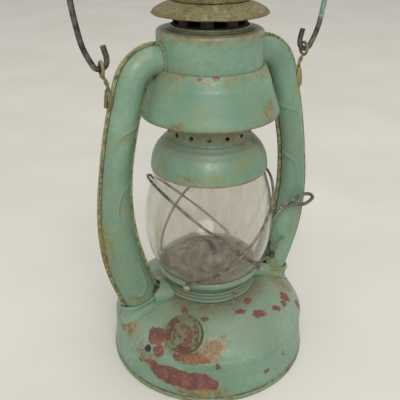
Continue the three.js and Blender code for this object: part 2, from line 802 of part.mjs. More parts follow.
function sideTubes() {
  const front = tubeTrough();
  const back = mirroredY(front);
  const foot = tubeFoot();
  const duct = airDuct();
  return group([
    part('tube_left_front', mirroredX(front), ENAMEL),
    part('tube_left_back', mirroredX(back), ENAMEL),
    part('tube_right_front', front, ENAMEL),
    part('tube_right_back', back, ENAMEL),
    part('tube_foot_left', mirroredX(foot), STAINED_ENAMEL),
    part('tube_foot_right', foot, STAINED_ENAMEL),
    part('air_duct_left', mirroredX(duct), ENAMEL),
    part('air_duct_right', duct, ENAMEL),
  ]);
}

function canopy() {
  return group([
    part('canopy_drum', canopyDrum(), ENAMEL),
    part('canopy_skirt', canopySkirt(), ENAMEL),
    part('canopy_collar', canopyCollar(), SOOT),
  ]);
}

function chimney() {
  return group([
    part('bell', bell(), ENAMEL),
    part('flue', flue(), SOOT),
    part('cap_brim', capBrim(), WEATHERED),
    part('cap_crown', capCrown(), WEATHERED),
    part('cap_loop', capLoop(), BARE_STEEL),
  ]);
}

const lantern = group([
  part('fount_shell', fountShell(), ENAMEL),
  part('fount_bottom', fountBottom(), STAINED_ENAMEL),
  filler(),
  burner(),
  sideTubes(),
  globeLift(),
  canopy(),
  part('ear_left', mirroredX(ear()), BRASS),
  part('ear_right', ear(), BRASS),
  carriage(),
  chimney(),
  part('bail', bail(), BARE_STEEL, [0, 0, EAR_HEIGHT]),
]);

export default lantern;
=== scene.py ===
import math

import bmesh
import bpy
from mathutils import Matrix, Vector, noise


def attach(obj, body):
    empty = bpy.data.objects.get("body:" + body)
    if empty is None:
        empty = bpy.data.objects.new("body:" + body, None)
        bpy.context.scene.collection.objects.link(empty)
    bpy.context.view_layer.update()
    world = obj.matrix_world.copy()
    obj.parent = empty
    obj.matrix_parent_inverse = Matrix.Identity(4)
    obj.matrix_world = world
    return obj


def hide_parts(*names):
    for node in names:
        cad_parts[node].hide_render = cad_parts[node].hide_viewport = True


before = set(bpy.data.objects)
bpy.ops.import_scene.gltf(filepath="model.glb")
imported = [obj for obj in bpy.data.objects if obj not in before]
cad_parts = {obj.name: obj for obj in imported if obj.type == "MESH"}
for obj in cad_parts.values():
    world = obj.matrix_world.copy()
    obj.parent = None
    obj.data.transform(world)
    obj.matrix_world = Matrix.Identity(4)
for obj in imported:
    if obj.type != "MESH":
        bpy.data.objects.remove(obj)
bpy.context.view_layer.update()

MM = 0.001
GAP = 0.3  # clearance to a neighbouring piece
SHEET = 1.2  # drawn thickness of the large pressings
THIN_SHEET = 1.0

MOUTH_RADIUS = 33.5
DECK_RADIUS = 36.0
DECK_HEIGHT = 60.2
SHOULDER = (78.4, 33.0)

FILLER_AZIMUTH = math.radians(-129.5)
FILLER_LEAN = math.radians(46)
FILLER_REACH = 64.5
FILLER_HEIGHT = 50.2
FILLER_BORE = 10.3
NECK_TOP = 8.6
CAP_RADIUS = 13.8
CAP_CEILING = 10.4

PLATE_HEIGHT = 76.4
PLATE_BORE = 20.3
PLATE_RIM = 41.4
GLOBE_WALL = 1.8
GUARD_WIRE = 1.2
LEVER_WIRE = 1.5
BAIL_WIRE = 1.9
DRUM_RADIUS = 37.2
DRUM_TOP = 264.3
FLUE_RADIUS = 25.4
TUBE_ENTRY = 244.8
EAR_REACH = 77.4
EAR_HEIGHT = 243.4
BAIL_SHOULDER = 295.0
BAIL_HALF_WIDTH = 93.5
BAIL_RISE = 90.0
SEAM_REACH = 1.19  # the tube's seam flange, as a factor of its half width


# ---------------------------------------------------------------- lines and outlines
def smooth_line(points, per):
    """A centripetal Catmull-Rom line through the points, with per steps from each to the next."""
    given = [Vector(p) for p in points]
    ends = [2 * given[0] - given[1], *given, 2 * given[-1] - given[-2]]
    line = []
    for i in range(1, len(ends) - 2):
        quad = ends[i - 1:i + 3]
        times = [0.0]
        for a, b in zip(quad, quad[1:]):
            times.append(times[-1] + max(math.sqrt((b - a).length), 1e-6))
        for k in range(per):
            t = times[1] + (times[2] - times[1]) * k / per
            row = list(quad)
            for level in (1, 2, 3):
                row = [between(row[j], row[j + 1], times, t, level, j) for j in range(len(row) - 1)]
            line.append(row[0])
    line.append(given[-1])
    return line


def between(a, b, times, t, level, j):
    """One step of the pyramid that gives a Catmull-Rom point."""
    low, high = {1: (j, j + 1), 2: (j, j + 2), 3: (1, 2)}[level]
    low, high = times[low], times[high]
    return a * ((high - t) / (high - low)) + b * ((t - low) / (high - low))


def bezier(a, b, c, d, steps):
    """Points of a cubic Bezier curve, ends included."""
    a, b, c, d = map(Vector, (a, b, c, d))
    line = []
    for k in range(steps + 1):
        t = k / steps
        s = 1 - t
        line.append(a * s**3 + b * (3 * s * s * t) + c * (3 * s * t * t) + d * t**3)
    return line


def straight(points, step=2.0):
    """The same corners with points added so that no span is longer than step."""
    line = []
    for a, b in zip(points, points[1:]):
        a, b = Vector(a), Vector(b)
        count = max(1, round((b - a).length / step))
        line += [a.lerp(b, k / count) for k in range(count)]
    return [*line, Vector(points[-1])]


def with_beads(line, beads):
    """Raises beads on an outline that runs downwards: (height, rise, half width) each."""
    out = []
    for i, p in enumerate(line):
        before, after = line[max(i - 1, 0)], line[min(i + 1, len(line) - 1)]
        along = (after - before).normalized()
        rise = sum(h * math.exp(-(((p.y - z) / w) ** 2)) for z, h, w in beads)
        out.append(p + Vector((-along.y, along.x)) * rise)
    return out


def sheet(outer, thickness, lip=4):
    """Closes an outer outline that runs downwards with one a thickness inside it, with round edges."""
    inner, normals = [], []
    for i, p in enumerate(outer):
        before, after = outer[max(i - 1, 0)], outer[min(i + 1, len(outer) - 1)]
        along = (after - before).normalized()
        normals.append(Vector((along.y, -along.x)))
        inner.append(p + normals[-1] * thickness)
    half = thickness / 2
    ends = []
    for index, sign in ((-1, 1), (0, -1)):
        n = normals[index]
        along = Vector((-n.y, n.x)) * sign
        middle = outer[index] + n * half - along * half
        turns = [math.pi * k / (lip + 1) for k in range(1, lip + 1)]
        arc = [middle - n * sign * half * math.cos(t) + along * half * math.sin(t) for t in turns]
        ends.append(arc)
    return [*outer, *ends[0], *reversed(inner), *ends[1]]


# ---------------------------------------------------------------- surfaces
def loft(rings, capped=True, closed=False):
    """Joins rings of points one after another. capped fills the first and last."""
    count = len(rings[0])
    verts = [Vector(p) for ring in rings for p in ring]
    faces = []
    spans = list(range(len(rings) - 1)) + ([len(rings) - 1] if closed else [])
    for r in spans:
        a, b = r * count, ((r + 1) % len(rings)) * count
        for i in range(count):
            j = (i + 1) % count
            faces.append((a + i, a + j, b + j, b + i))
    if capped and not closed:
        faces.append(tuple(range(count)))
        faces.append(tuple(range(len(verts) - count, len(verts))))
    return verts, faces


def revolve(profile, segments=128):
    """Turns (radius, height) points about Z. The profile closes on itself, or ends on the axis."""
    points = [Vector(p[:2]) for p in profile]
    on_axis = points[0].x < 1e-3 or points[-1].x < 1e-3
    verts, rings, faces = [], [], []
    for p in points:
        first = len(verts)
        if p.x < 1e-3:
            verts.append(Vector((0, 0, p.y)))
            rings.append([first])
            continue
        for i in range(segments):
            turn = 2 * math.pi * i / segments
            verts.append(Vector((p.x * math.cos(turn), p.x * math.sin(turn), p.y)))
        rings.append(list(range(first, first + segments)))
    pairs = list(zip(rings, rings[1:]))
    if not on_axis:
        pairs.append((rings[-1], rings[0]))
    for a, b in pairs:
        for i in range(segments):
            j = (i + 1) % segments
            quad = [a[i % len(a)], a[j % len(a)], b[j % len(b)], b[i % len(b)]]
            kept = [v for n, v in enumerate(quad) if v not in quad[:n]]
            if len(kept) > 2:
                faces.append(tuple(kept))
    return verts, faces


def sweep(line, radius, sides=12, closed=False, squash=1.0, side=Vector((0, 1, 0))):
    """A wire along a line. radius is a number or a function of the share of the length. squash
    flattens it across side."""
    line = [Vector(p) for p in line]
    rings = []
    count = len(line)
    for i, p in enumerate(line):
        before = line[i - 1] if i or closed else p
        after = line[(i + 1) % count] if i < count - 1 or closed else p
        along = (after - before).normalized()
        across = side - along * side.dot(along)
        if across.length < 0.05:
            across = Vector((1, 0, 0)) - along * along.x
        across.normalize()
        up = along.cross(across)
        r = radius(i / (count - 1)) if callable(radius) else radius
        ring = []
        for k in range(sides):
            turn = 2 * math.pi * k / sides
            ring.append(p + across * (r * math.cos(turn)) + up * (r * squash * math.sin(turn)))
        rings.append(ring)
    return loft(rings, capped=not closed, closed=closed)


def block(low, high):
    """A box between two corners."""
    (x0, y0, z0), (x1, y1, z1) = low, high
    bottom = [(x0, y0, z0), (x1, y0, z0), (x1, y1, z0), (x0, y1, z0)]
    top = [(x, y, z1) for x, y, _ in bottom]
    return loft([bottom, top])


def drill(radius, start, end, sides=20):
    """A cylinder from start to end."""
    start, end = Vector(start), Vector(end)
    turned = (end - start).to_track_quat("Z", "Y").to_matrix()
    rings = []
    for middle in (start, end):
        turns = [2 * math.pi * k / sides for k in range(sides)]
        spokes = [Vector((radius * math.cos(t), radius * math.sin(t), 0)) for t in turns]
        rings.append([middle + turned @ spoke for spoke in spokes])
    return loft(rings)


def moved(shape, matrix):
    verts, faces = shape
    return [matrix @ v for v in verts], faces


def mirrored(shape, x=1, y=1):
    verts, faces = shape
    return [Vector((v.x * x, v.y * y, v.z)) for v in verts], [tuple(reversed(f)) for f in faces]


def together(*shapes):
    verts, faces = [], []
    for more, their in shapes:
        faces += [tuple(i + len(verts) for i in f) for f in their]
        verts += more
    return verts, faces


def dented(shape, depth, size, seed=0.0):
    """Small smooth unevenness, as old hand-worked sheet metal has. depth and size are in mm."""
    verts, faces = shape
    out = []
    for v in verts:
        shift = noise.noise_vector(v / size + Vector((seed, seed * 1.7, -seed)))
        out.append(v + shift * depth)
    return out, faces


# ---------------------------------------------------------------- pieces
def to_mesh(name, shape):
    verts, faces = shape
    mesh = bpy.data.meshes.new(name)
    mesh.from_pydata([v * MM for v in verts], [], faces)
    work = bmesh.new()
    work.from_mesh(mesh)
    bmesh.ops.remove_doubles(work, verts=work.verts, dist=1e-7)
    bmesh.ops.dissolve_degenerate(work, edges=work.edges, dist=1e-8)
    bmesh.ops.recalc_face_normals(work, faces=work.faces)
    work.to_mesh(mesh)
    work.free()
    return mesh


def carved(shape, *cutters):
    """The shape less every cutter, through Blender's exact boolean."""
    target = bpy.data.objects.new("carve", to_mesh("carve", shape))
    bpy.context.scene.collection.objects.link(target)
    tools = []
    for cutter in cutters:
        tool = bpy.data.objects.new("cutter", to_mesh("cutter", cutter))
        bpy.context.scene.collection.objects.link(tool)
        cut = target.modifiers.new("cut", "BOOLEAN")
        cut.operation = "DIFFERENCE"
        cut.solver = "EXACT"
        cut.object = tool
        tools.append(tool)
    seen = target.evaluated_get(bpy.context.evaluated_depsgraph_get())
    left = seen.to_mesh()
    verts = [v.co / MM for v in left.vertices]
    faces = [tuple(p.vertices) for p in left.polygons]
    seen.to_mesh_clear()
    for used in (target, *tools):
        data = used.data
        bpy.data.objects.remove(used)
        bpy.data.meshes.remove(data)
    return verts, faces


def piece(name, shape, body, node, material, crease=32, bevel=0.0):
    """One visible piece: it rides on a CAD body and stands for a CAD node."""
    mesh = to_mesh(name, shape)
    mesh.shade_smooth()
    mesh.set_sharp_from_angle(angle=math.radians(crease))
    made = bpy.data.objects.new(name, mesh)
    bpy.context.scene.collection.objects.link(made)
    mesh.materials.append(material)
    if bevel:
        edge = made.modifiers.new("edge", "BEVEL")
        edge.width = bevel * MM
        edge.segments = 2
        edge.limit_method = "ANGLE"
    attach(made, body)
    if node:
        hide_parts(*([node] if isinstance(node, str) else node))
    return made


# ---------------------------------------------------------------- materials
def linear(code):
    """Linear colour from an sRGB hex code."""
    parts = [int(code[i:i + 2], 16) / 255 for i in (0, 2, 4)]
    return (*[c / 12.92 if c <= 0.04045 else ((c + 0.055) / 1.055) ** 2.4 for c in parts], 1)


class Paint:
    """A material's node tree, with short calls for the nodes that the surfaces below share."""

    def __init__(self, name):
        self.material = bpy.data.materials.new(name)
        self.material.use_nodes = True
        self.tree = self.material.node_tree
        self.tree.nodes.clear()
        self.output = self.tree.nodes.new("ShaderNodeOutputMaterial")
        self.shader = self.tree.nodes.new("ShaderNodeBsdfPrincipled")
        self.place = self.tree.nodes.new("ShaderNodeTexCoord").outputs["Object"]
        self.join(self.shader.outputs[0], self.output.inputs["Surface"])

    def join(self, source, target):
        if hasattr(source, "is_output"):
            self.tree.links.new(source, target)
        else:
            target.default_value = source

    def node(self, kind, **settings):
        made = self.tree.nodes.new(kind)
        for key, value in settings.items():
            setattr(made, key, value)
        return made

    def math(self, operation, a, b=0.0, clamp=False):
        made = self.node("ShaderNodeMath", operation=operation, use_clamp=clamp)
        self.join(a, made.inputs[0])
        self.join(b, made.inputs[1])
        return made.outputs[0]

    def vector(self, operation, a, b=(0, 0, 0), scale=None):
        made = self.node("ShaderNodeVectorMath", operation=operation)
        self.join(a, made.inputs[0])
        self.join(b, made.inputs[1])
        if scale is not None:
            self.join(scale, made.inputs["Scale"])
        return made.outputs["Value" if operation in ("LENGTH", "DOT_PRODUCT", "DISTANCE") else "Vector"]

    def noise(self, size, detail=3.0, roughness=0.55, stretch=None, offset=0.0, colour=False):
        """Noise whose features are about size mm, from 0 to 1."""
        where = self.place
        if stretch or offset:
            where = self.vector("MULTIPLY", where, stretch or (1, 1, 1))
            where = self.vector("ADD", where, (offset, -offset, offset * 0.5))
        made = self.node("ShaderNodeTexNoise")
        self.join(where, made.inputs["Vector"])
        made.inputs["Scale"].default_value = 1 / (size * MM)
        made.inputs["Detail"].default_value = detail
        made.inputs["Roughness"].default_value = roughness
        return made.outputs["Color" if colour else "Fac"]

    def ramp(self, value, low, high, to_low=0.0, to_high=1.0):
        """value's span from low to high, smoothed, as to_low to to_high."""
        made = self.node("ShaderNodeMapRange", interpolation_type="SMOOTHSTEP")
        self.join(value, made.inputs["Value"])
        made.inputs["From Min"].default_value = low
        made.inputs["From Max"].default_value = high
        made.inputs["To Min"].default_value = to_low
        made.inputs["To Max"].default_value = to_high
        return made.outputs["Result"]

    def mix(self, share, a, b, blend="MIX"):
        made = self.node("ShaderNodeMix", data_type="RGBA", blend_type=blend)
        self.join(share, made.inputs["Factor"])
        colour_a, colour_b, result = made.inputs[6], made.inputs[7], made.outputs[2]
        self.join(linear(a) if isinstance(a, str) else a, colour_a)
        self.join(linear(b) if isinstance(b, str) else b, colour_b)
        return result

    def blobs(self, spots, wobble=5.0, grain=1.2):
        """Distance from the nearest spot as a share of its size: under 1 inside. A spot is
        (centre, half sizes), in mm, and its edge is ragged."""
        rough = self.vector("SUBTRACT", self.noise(11, 4, 0.6, colour=True), (0.5, 0.5, 0.5))
        fine = self.vector("SUBTRACT", self.noise(2.2, 3, 0.6, colour=True), (0.5, 0.5, 0.5))
        where = self.vector("ADD", self.place, self.vector("SCALE", rough, scale=wobble * MM))
        where = self.vector("ADD", where, self.vector("SCALE", fine, scale=grain * MM))
        nearest = None
        for centre, sizes in spots:
            apart = self.vector("SUBTRACT", where, tuple(c * MM for c in centre))
            scaled = self.vector("MULTIPLY", apart, tuple(1 / (s * MM) for s in sizes))
            share = self.vector("LENGTH", scaled)
            nearest = share if nearest is None else self.math("MINIMUM", nearest, share)
        return nearest

    def product(self, first, *others):
        for value in others:
            first = self.math("MULTIPLY", first, value)
        return first

    def along(self, axis):
        part = self.node("ShaderNodeSeparateXYZ")
        self.join(self.place, part.inputs[0])
        return part.outputs[axis]

    def from_axis(self):
        """Distance from the lantern's own axis."""
        return self.vector("LENGTH", self.vector("MULTIPLY", self.place, (1, 1, 0)))

    def facing_up(self):
        geometry = self.node("ShaderNodeNewGeometry")
        part = self.node("ShaderNodeSeparateXYZ")
        self.join(geometry.outputs["Normal"], part.inputs[0])
        return part.outputs["Z"]

    def finish(self, colour, roughness, bumps=(), metallic=0.0, specular=0.5):
        """bumps is a list of (value, depth in mm)."""
        self.join(linear(colour) if isinstance(colour, str) else colour, self.shader.inputs["Base Color"])
        self.join(roughness, self.shader.inputs["Roughness"])
        self.join(metallic, self.shader.inputs["Metallic"])
        self.shader.inputs["Specular IOR Level"].default_value = specular
        normal = None
        for value, depth in bumps:
            bump = self.node("ShaderNodeBump")
            bump.inputs["Strength"].default_value = 1.0
            bump.inputs["Distance"].default_value = depth * MM
            self.join(value, bump.inputs["Height"])
            if normal:
                self.join(normal, bump.inputs["Normal"])
            normal = bump.outputs[0]
        if normal:
            self.join(normal, self.shader.inputs["Normal"])
        return self.material


PRIMER_SPOTS = [
    ((-51, -60, 19.5), (26, 26, 8.5)),
    ((-36, -70, 17.0), (12, 12, 6.5)),
    ((-66, -42, 24.5), (7, 7, 3.2)),
    ((-60, -36, 44.5), (6.5, 6.5, 10)),
    ((-61.5, -44, 37.5), (4.5, 4.5, 6)),
    ((-43, -62, 39.0), (14, 14, 3.4)),
    ((-23.8, -45.3, 57.4), (3.2, 3.2, 2.6)),
    ((-35.1, -31, 58.5), (3, 3, 2)),
    ((51.5, -40, 50.4), (6, 6, 4)),
    ((36.5, -52, 51.4), (4.2, 2.6, 3)),
    ((19.4, -54.3, 54.6), (6.2, 3.8, 3)),
    ((5.1, -49.5, 57.7), (4.6, 3, 2)),
    ((63.4, -41.4, 38.4), (3.6, 3.6, 6)),
    ((46, -47, 48), (3, 3, 4)),
    ((15, -40.8, 59.2), (4, 2.4, 2)),
    ((-26, -73.3, 34), (2.8, 2.8, 2.6)),
    ((13.3, -78, 17.7), (2.6, 2.6, 2.4)),
    ((31.9, -71.8, 23.7), (1.1, 1.1, 4)),
    ((-72.7, -30.2, 22.3), (2, 2, 1.6)),
    ((30, 60, 44), (9, 7, 6)),
    ((-20, 74, 24), (12, 8, 5)),
    ((70, 30, 26), (5, 7, 5)),
]
RUST_SPOTS = [
    ((-26, -66, 45.5), (7.5, 7.5, 6)),
    ((-33, -66, 40.5), (7, 7, 5)),
    ((-18.1, -63.4, 50), (3.4, 3.4, 1.6)),
    ((-43.6, -61.8, 38.7), (9, 9, 3.2)),
    ((-74, -4.7, 41.2), (5, 7, 4.5)),
    ((-35, -75, 11), (12, 8, 2.2)),
]
BARE_SPOTS = [
    ((-67, -37, 36.8), (3.6, 3.6, 3.2)),
]
STAIN_SPOTS = [
    ((-46, -50, 47), (20, 20, 13)),
    ((-30, -66, 43), (20, 12, 10)),
    ((-74, -8, 40), (12, 22, 10)),
    ((-70, -34, 30), (8, 14, 12)),
    ((-40, -70, 8), (34, 20, 5)),
    ((58, -22, 50), (16, 14, 8)),
    ((66, -40, 36), (10, 12, 6)),
    ((30, 50, 50), (20, 14, 8)),
]


class Coat:
    """One old painted surface, as its layers build up."""

    def __init__(self, paint, colour, rough, fine, bumps):
        self.paint, self.colour, self.rough, self.fine, self.bumps = paint, colour, rough, fine, bumps

    def cover(self, share, colour, most=None):
        """Lays colour over the coat where share says, and most of the way at the most."""
        if most is not None:
            share = self.paint.math("MULTIPLY", share, most)
        self.colour = self.paint.mix(share, self.colour, colour)

    def mottle(self, low, high, a, b):
        """Two colours in the coat's own fine grain."""
        return self.paint.mix(self.paint.ramp(self.fine, low, high), a, b)

    def roughen(self, share, amount):
        self.rough = self.paint.math("ADD", self.rough, self.paint.math("MULTIPLY", share, amount))

    def sink(self, share, depth):
        """Lowers the surface by depth mm where share says."""
        self.bumps.append((self.paint.math("SUBTRACT", 1.0, share), depth))


def chips(coat, share):
    """Flakes gone down to brown primer; share runs from 0 to about 1."""
    p = coat.paint
    edge = 0.70 - 0.09 * share
    worn = p.ramp(p.noise(16, 7, 0.68, offset=0.9), edge, edge + 0.015)
    coat.cover(worn, coat.mottle(0.3, 0.7, "855845", "5f4138"))
    coat.roughen(worn, 0.25)
    coat.sink(worn, 0.09)


def seam_line(coat):
    """Dirt beside the flanges that meet along Y = 0, and the olive edge of the flanges."""
    p = coat.paint
    ragged = p.math("MULTIPLY", p.math("SUBTRACT", p.noise(3, 4, 0.7, offset=0.4), 0.5), 0.8 * MM)
    off = p.math("ADD", p.math("ABSOLUTE", p.along("Y")), ragged)
    beside = p.product(p.ramp(off, 2.6 * MM, 1.8 * MM), p.ramp(p.noise(9, 4, 0.6, offset=2), 0.2, 0.4))
    coat.cover(beside, "332f22", 0.95)
    coat.cover(p.ramp(off, 1.35 * MM, 1.15 * MM), coat.mottle(0.4, 0.6, "8b9368", "75734c"))


def painted_shade_and_soot_inside(coat):
    """Near-black brown on the side that faces the lantern's axis: painted shade on the insides of the drum,
    its collar, the skirt and the bell, and soot inside the bell.
    """
    p = coat.paint
    outward = p.vector("NORMALIZE", p.vector("MULTIPLY", p.place, (1, 1, 0)))
    facing = p.vector("DOT_PRODUCT", p.node("ShaderNodeNewGeometry").outputs["Normal"], outward)
    # the near-black brown laid here is painted shade where light does not reach, and soot in the bell
    coat.cover(p.ramp(facing, -0.15, -0.35), "2a241c")


def olive_rim(coat, height):
    """An upper edge gone olive, down from height mm."""
    p = coat.paint
    high = p.ramp(p.along("Z"), (height - 9) * MM, height * MM)
    patchy = p.product(high, p.ramp(p.noise(8, 5, 0.65, offset=1.1), 0.34, 0.6))
    coat.cover(patchy, coat.mottle(0.4, 0.65, "84794f", "6c5a3c"), 0.75)


def rusty_rim(coat, height):
    """A lower edge at height mm that rust has started on."""
    p = coat.paint
    low = p.ramp(p.along("Z"), (height + 1.3) * MM, (height - 0.1) * MM)
    rim = p.product(low, p.ramp(p.noise(6, 4, 0.6, offset=0.7), 0.3, 0.55))
    coat.cover(rim, coat.mottle(0.35, 0.65, "9a6a3c", "6b4a30"))


def stains(coat, spots):
    p = coat.paint
    soiled = p.ramp(p.blobs(spots, wobble=10, grain=3), 1.1, 0.3)
    soiled = p.product(soiled, p.ramp(p.noise(4, 6, 0.7, offset=0.6), 0.36, 0.56))
    coat.cover(soiled, coat.mottle(0.4, 0.62, "7f7c46", "6a5934"))


def flakes(coat, spots):
    """Small spots of bare primer."""
    near = coat.paint.blobs(spots, wobble=3, grain=2)
    coat.cover(coat.paint.ramp(near, 1.0, 0.95), "6f4638")


def bare_middle(coat, radius):
    """No paint left within radius mm of the axis, only dull mottled metal."""
    p = coat.paint
    bare = p.ramp(p.from_axis(), (radius + 0.4) * MM, (radius - 0.8) * MM)
    grey = p.mix(p.ramp(p.noise(6, 6, 0.72, offset=5), 0.42, 0.58), "7c7466", "4a4037")
    grey = p.mix(p.ramp(p.noise(3.4, 5, 0.7, offset=2), 0.52, 0.6), grey, "5d4434")
    coat.cover(bare, p.mix(p.ramp(p.noise(1.1, 4, 0.7), 0.54, 0.64), grey, "a09583"))
    coat.roughen(bare, 0.3)


def dirty_dome(coat):
    """Dirt and dark specks towards the fount's deck, and dirt over its rolled rim."""
    p = coat.paint
    across = p.from_axis()
    near = p.product(p.ramp(across, 56 * MM, 34 * MM), p.ramp(p.noise(3, 6, 0.75, offset=0.9), 0.42, 0.6))
    coat.cover(near, coat.mottle(0.4, 0.6, "7c7658", "5f5540"), 0.7)
    specks = p.product(
        p.ramp(p.noise(0.9, 4, 0.75, offset=1.7), 0.6, 0.64),
        p.ramp(across, 66 * MM, 40 * MM),
        p.ramp(p.noise(14, 4, 0.6, offset=6), 0.47, 0.55),
    )
    coat.cover(specks, "2f2a22")
    low = p.ramp(p.along("Z"), 6.4 * MM, 4.6 * MM)
    groove = p.product(low, p.ramp(p.noise(6, 5, 0.7, offset=1.2), 0.34, 0.5))
    coat.cover(groove, coat.mottle(0.4, 0.6, "5c5436", "40372a"), 0.85)


def dirty_deck(coat):
    """Grime and pits on the deck, round the burner."""
    p = coat.paint
    deck = p.ramp(p.from_axis(), 54 * MM, 39 * MM)
    coat.cover(p.product(deck, p.ramp(p.noise(5, 6, 0.7, offset=1.9), 0.36, 0.6)), "776f55", 0.85)
    coat.cover(p.product(deck, p.ramp(p.noise(1.4, 4, 0.7, offset=2.7), 0.56, 0.66)), "3f3529")


def worn_patches(coat):
    """The fount's stains, its patches of bare primer, its rust and its one spot of bare steel."""
    p = coat.paint
    soil = p.ramp(p.blobs(STAIN_SPOTS, wobble=14, grain=3), 1.15, 0.35)
    soil = p.product(soil, p.ramp(p.noise(4, 5, 0.65, offset=0.6), 0.32, 0.58))
    coat.cover(soil, coat.mottle(0.4, 0.62, "83764b", "6a5238"))
    near = p.blobs(PRIMER_SPOTS, wobble=9, grain=3.4)
    primer = p.mix(p.ramp(p.noise(5, 5, 0.7, offset=0.2), 0.35, 0.62), "7f4d42", "5a3a36")
    primer = p.mix(p.ramp(coat.fine, 0.56, 0.7), primer, "8f6552")
    coat.cover(p.ramp(near, 1.09, 1.0, 0.0, 0.8), "6a5640")
    bare = p.ramp(near, 1.0, 0.97)
    coat.cover(bare, primer)
    rusty = p.ramp(p.blobs(RUST_SPOTS, wobble=7, grain=2.4), 1.05, 0.7)
    speckled = p.product(rusty, p.ramp(p.noise(1.5, 4, 0.7, offset=1.3), 0.4, 0.56))
    rust = p.mix(p.ramp(p.noise(1.1, 3, 0.6, offset=2.1), 0.4, 0.6), "9c6f40", "6f4c36")
    coat.cover(speckled, rust)
    dark = p.ramp(p.blobs(BARE_SPOTS, wobble=3, grain=3.0), 1.0, 0.9)
    coat.cover(dark, "23242c")
    gone = p.math("MAXIMUM", bare, p.math("MAXIMUM", speckled, dark))
    coat.roughen(gone, 0.22)
    coat.sink(gone, 0.1)


def enamel(name, stain, dust, *layers):
    """Old green enamel. stain and dust run from 0 to 1; layers are the functions above, each in a
    tuple with what it takes after the coat, from the lowest layer up."""
    p = Paint(name)
    broad = p.noise(60, 3, offset=0.31)
    middle = p.noise(19, 5, 0.6, offset=0.17)
    fine = p.noise(3.2, 5, 0.65)
    colour = p.mix(p.ramp(broad, 0.36, 0.64), "688872", "7e9c86")
    colour = p.mix(p.ramp(fine, 0.3, 0.75, 0.0, 0.45), colour, "5a7862")
    drips = p.noise(7, 4, 0.6, stretch=(1, 1, 0.12), offset=0.05)
    olive = p.product(p.ramp(middle, 0.46, 0.74), p.ramp(drips, 0.35, 0.7, 0.35, 1.0))
    colour = p.mix(p.math("MULTIPLY", olive, stain * 1.3, clamp=True), colour, "7d8252")
    grey = p.product(p.ramp(p.facing_up(), 0.25, 0.95), p.ramp(middle, 0.3, 0.62, 0.6, 1.0))
    colour = p.mix(p.math("MULTIPLY", grey, dust, clamp=True), colour, "8d8873")
    bumps = [(broad, 0.8), (p.noise(9, 2, 0.5), 0.12), (fine, 0.05), (p.noise(0.9, 2, 0.5), 0.012)]
    coat = Coat(p, colour, p.ramp(fine, 0.3, 0.7, 0.3, 0.46), fine, bumps)
    coat.cover(p.ramp(p.noise(1.6, 4, 0.7, offset=0.4), 0.63, 0.76), "5d5a41", 0.5)
    coat.roughen(olive, 0.2)
    for layer, *values in layers:
        layer(coat, *values)
    return p.finish(coat.colour, coat.rough, coat.bumps)


def stained_rim(name):
    """Enamel gone olive and brown on a rolled edge, a seam or a soldered ring."""
    p = Paint(name)
    fine = p.noise(2.6, 5, 0.65)
    colour = p.mix(p.ramp(p.noise(22, 4, offset=0.4), 0.35, 0.65), "77875f", "6d8c70")
    colour = p.mix(p.ramp(fine, 0.45, 0.68), colour, "74683f")
    colour = p.mix(p.ramp(p.noise(9, 5, 0.7, offset=0.8), 0.54, 0.64), colour, "6f4634")
    colour = p.mix(p.ramp(p.noise(1.6, 4, 0.7, offset=0.6), 0.56, 0.7), colour, "3a3526")
    return p.finish(colour, p.ramp(fine, 0.3, 0.7, 0.5, 0.72), [(fine, 0.08), (p.noise(0.7, 2), 0.02)])


def cap_paint(name):
    """The filler cap: dull olive green, with large flakes gone down to red-brown primer."""
    p = Paint(name)
    fine = p.noise(1.8, 5, 0.65)
    colour = p.mix(p.ramp(p.noise(12, 4, offset=0.4), 0.35, 0.65), "545a3c", "5d6a4c")
    colour = p.mix(p.ramp(fine, 0.5, 0.7), colour, "665a3d")
    flaked = p.ramp(p.noise(7.5, 5, 0.62, offset=3.3), 0.49, 0.505)
    colour = p.mix(flaked, colour, p.mix(p.ramp(fine, 0.4, 0.65), "643a2c", "452c24"))
    bumps = [(p.math("SUBTRACT", 1.0, flaked), 0.12), (fine, 0.06)]
    return p.finish(colour, p.ramp(fine, 0.3, 0.7, 0.5, 0.72), bumps)


def weathered(name):
    """The cap's bleached paint, gone beige and lichen green over rust."""
    p = Paint(name)
    fine = p.noise(2.4, 6, 0.7)
    patch = p.noise(11, 5, 0.6, offset=0.6)
    colour = p.mix(p.ramp(patch, 0.38, 0.6), "6a5b38", "6c6c44")
    colour = p.mix(p.ramp(p.noise(6, 5, 0.65, offset=1.4), 0.54, 0.66), colour, "857a5b")
    colour = p.mix(p.ramp(p.noise(8, 6, 0.7, offset=2.4), 0.51, 0.62), colour, "664a30")
    colour = p.mix(p.ramp(p.noise(1.2, 5, 0.7, offset=4), 0.54, 0.64, 0.0, 0.9), colour, "332d22")
    bumps = [(patch, 0.5), (fine, 0.16), (p.noise(0.7, 2), 0.04)]
    return p.finish(colour, p.ramp(fine, 0.3, 0.7, 0.55, 0.85), bumps)


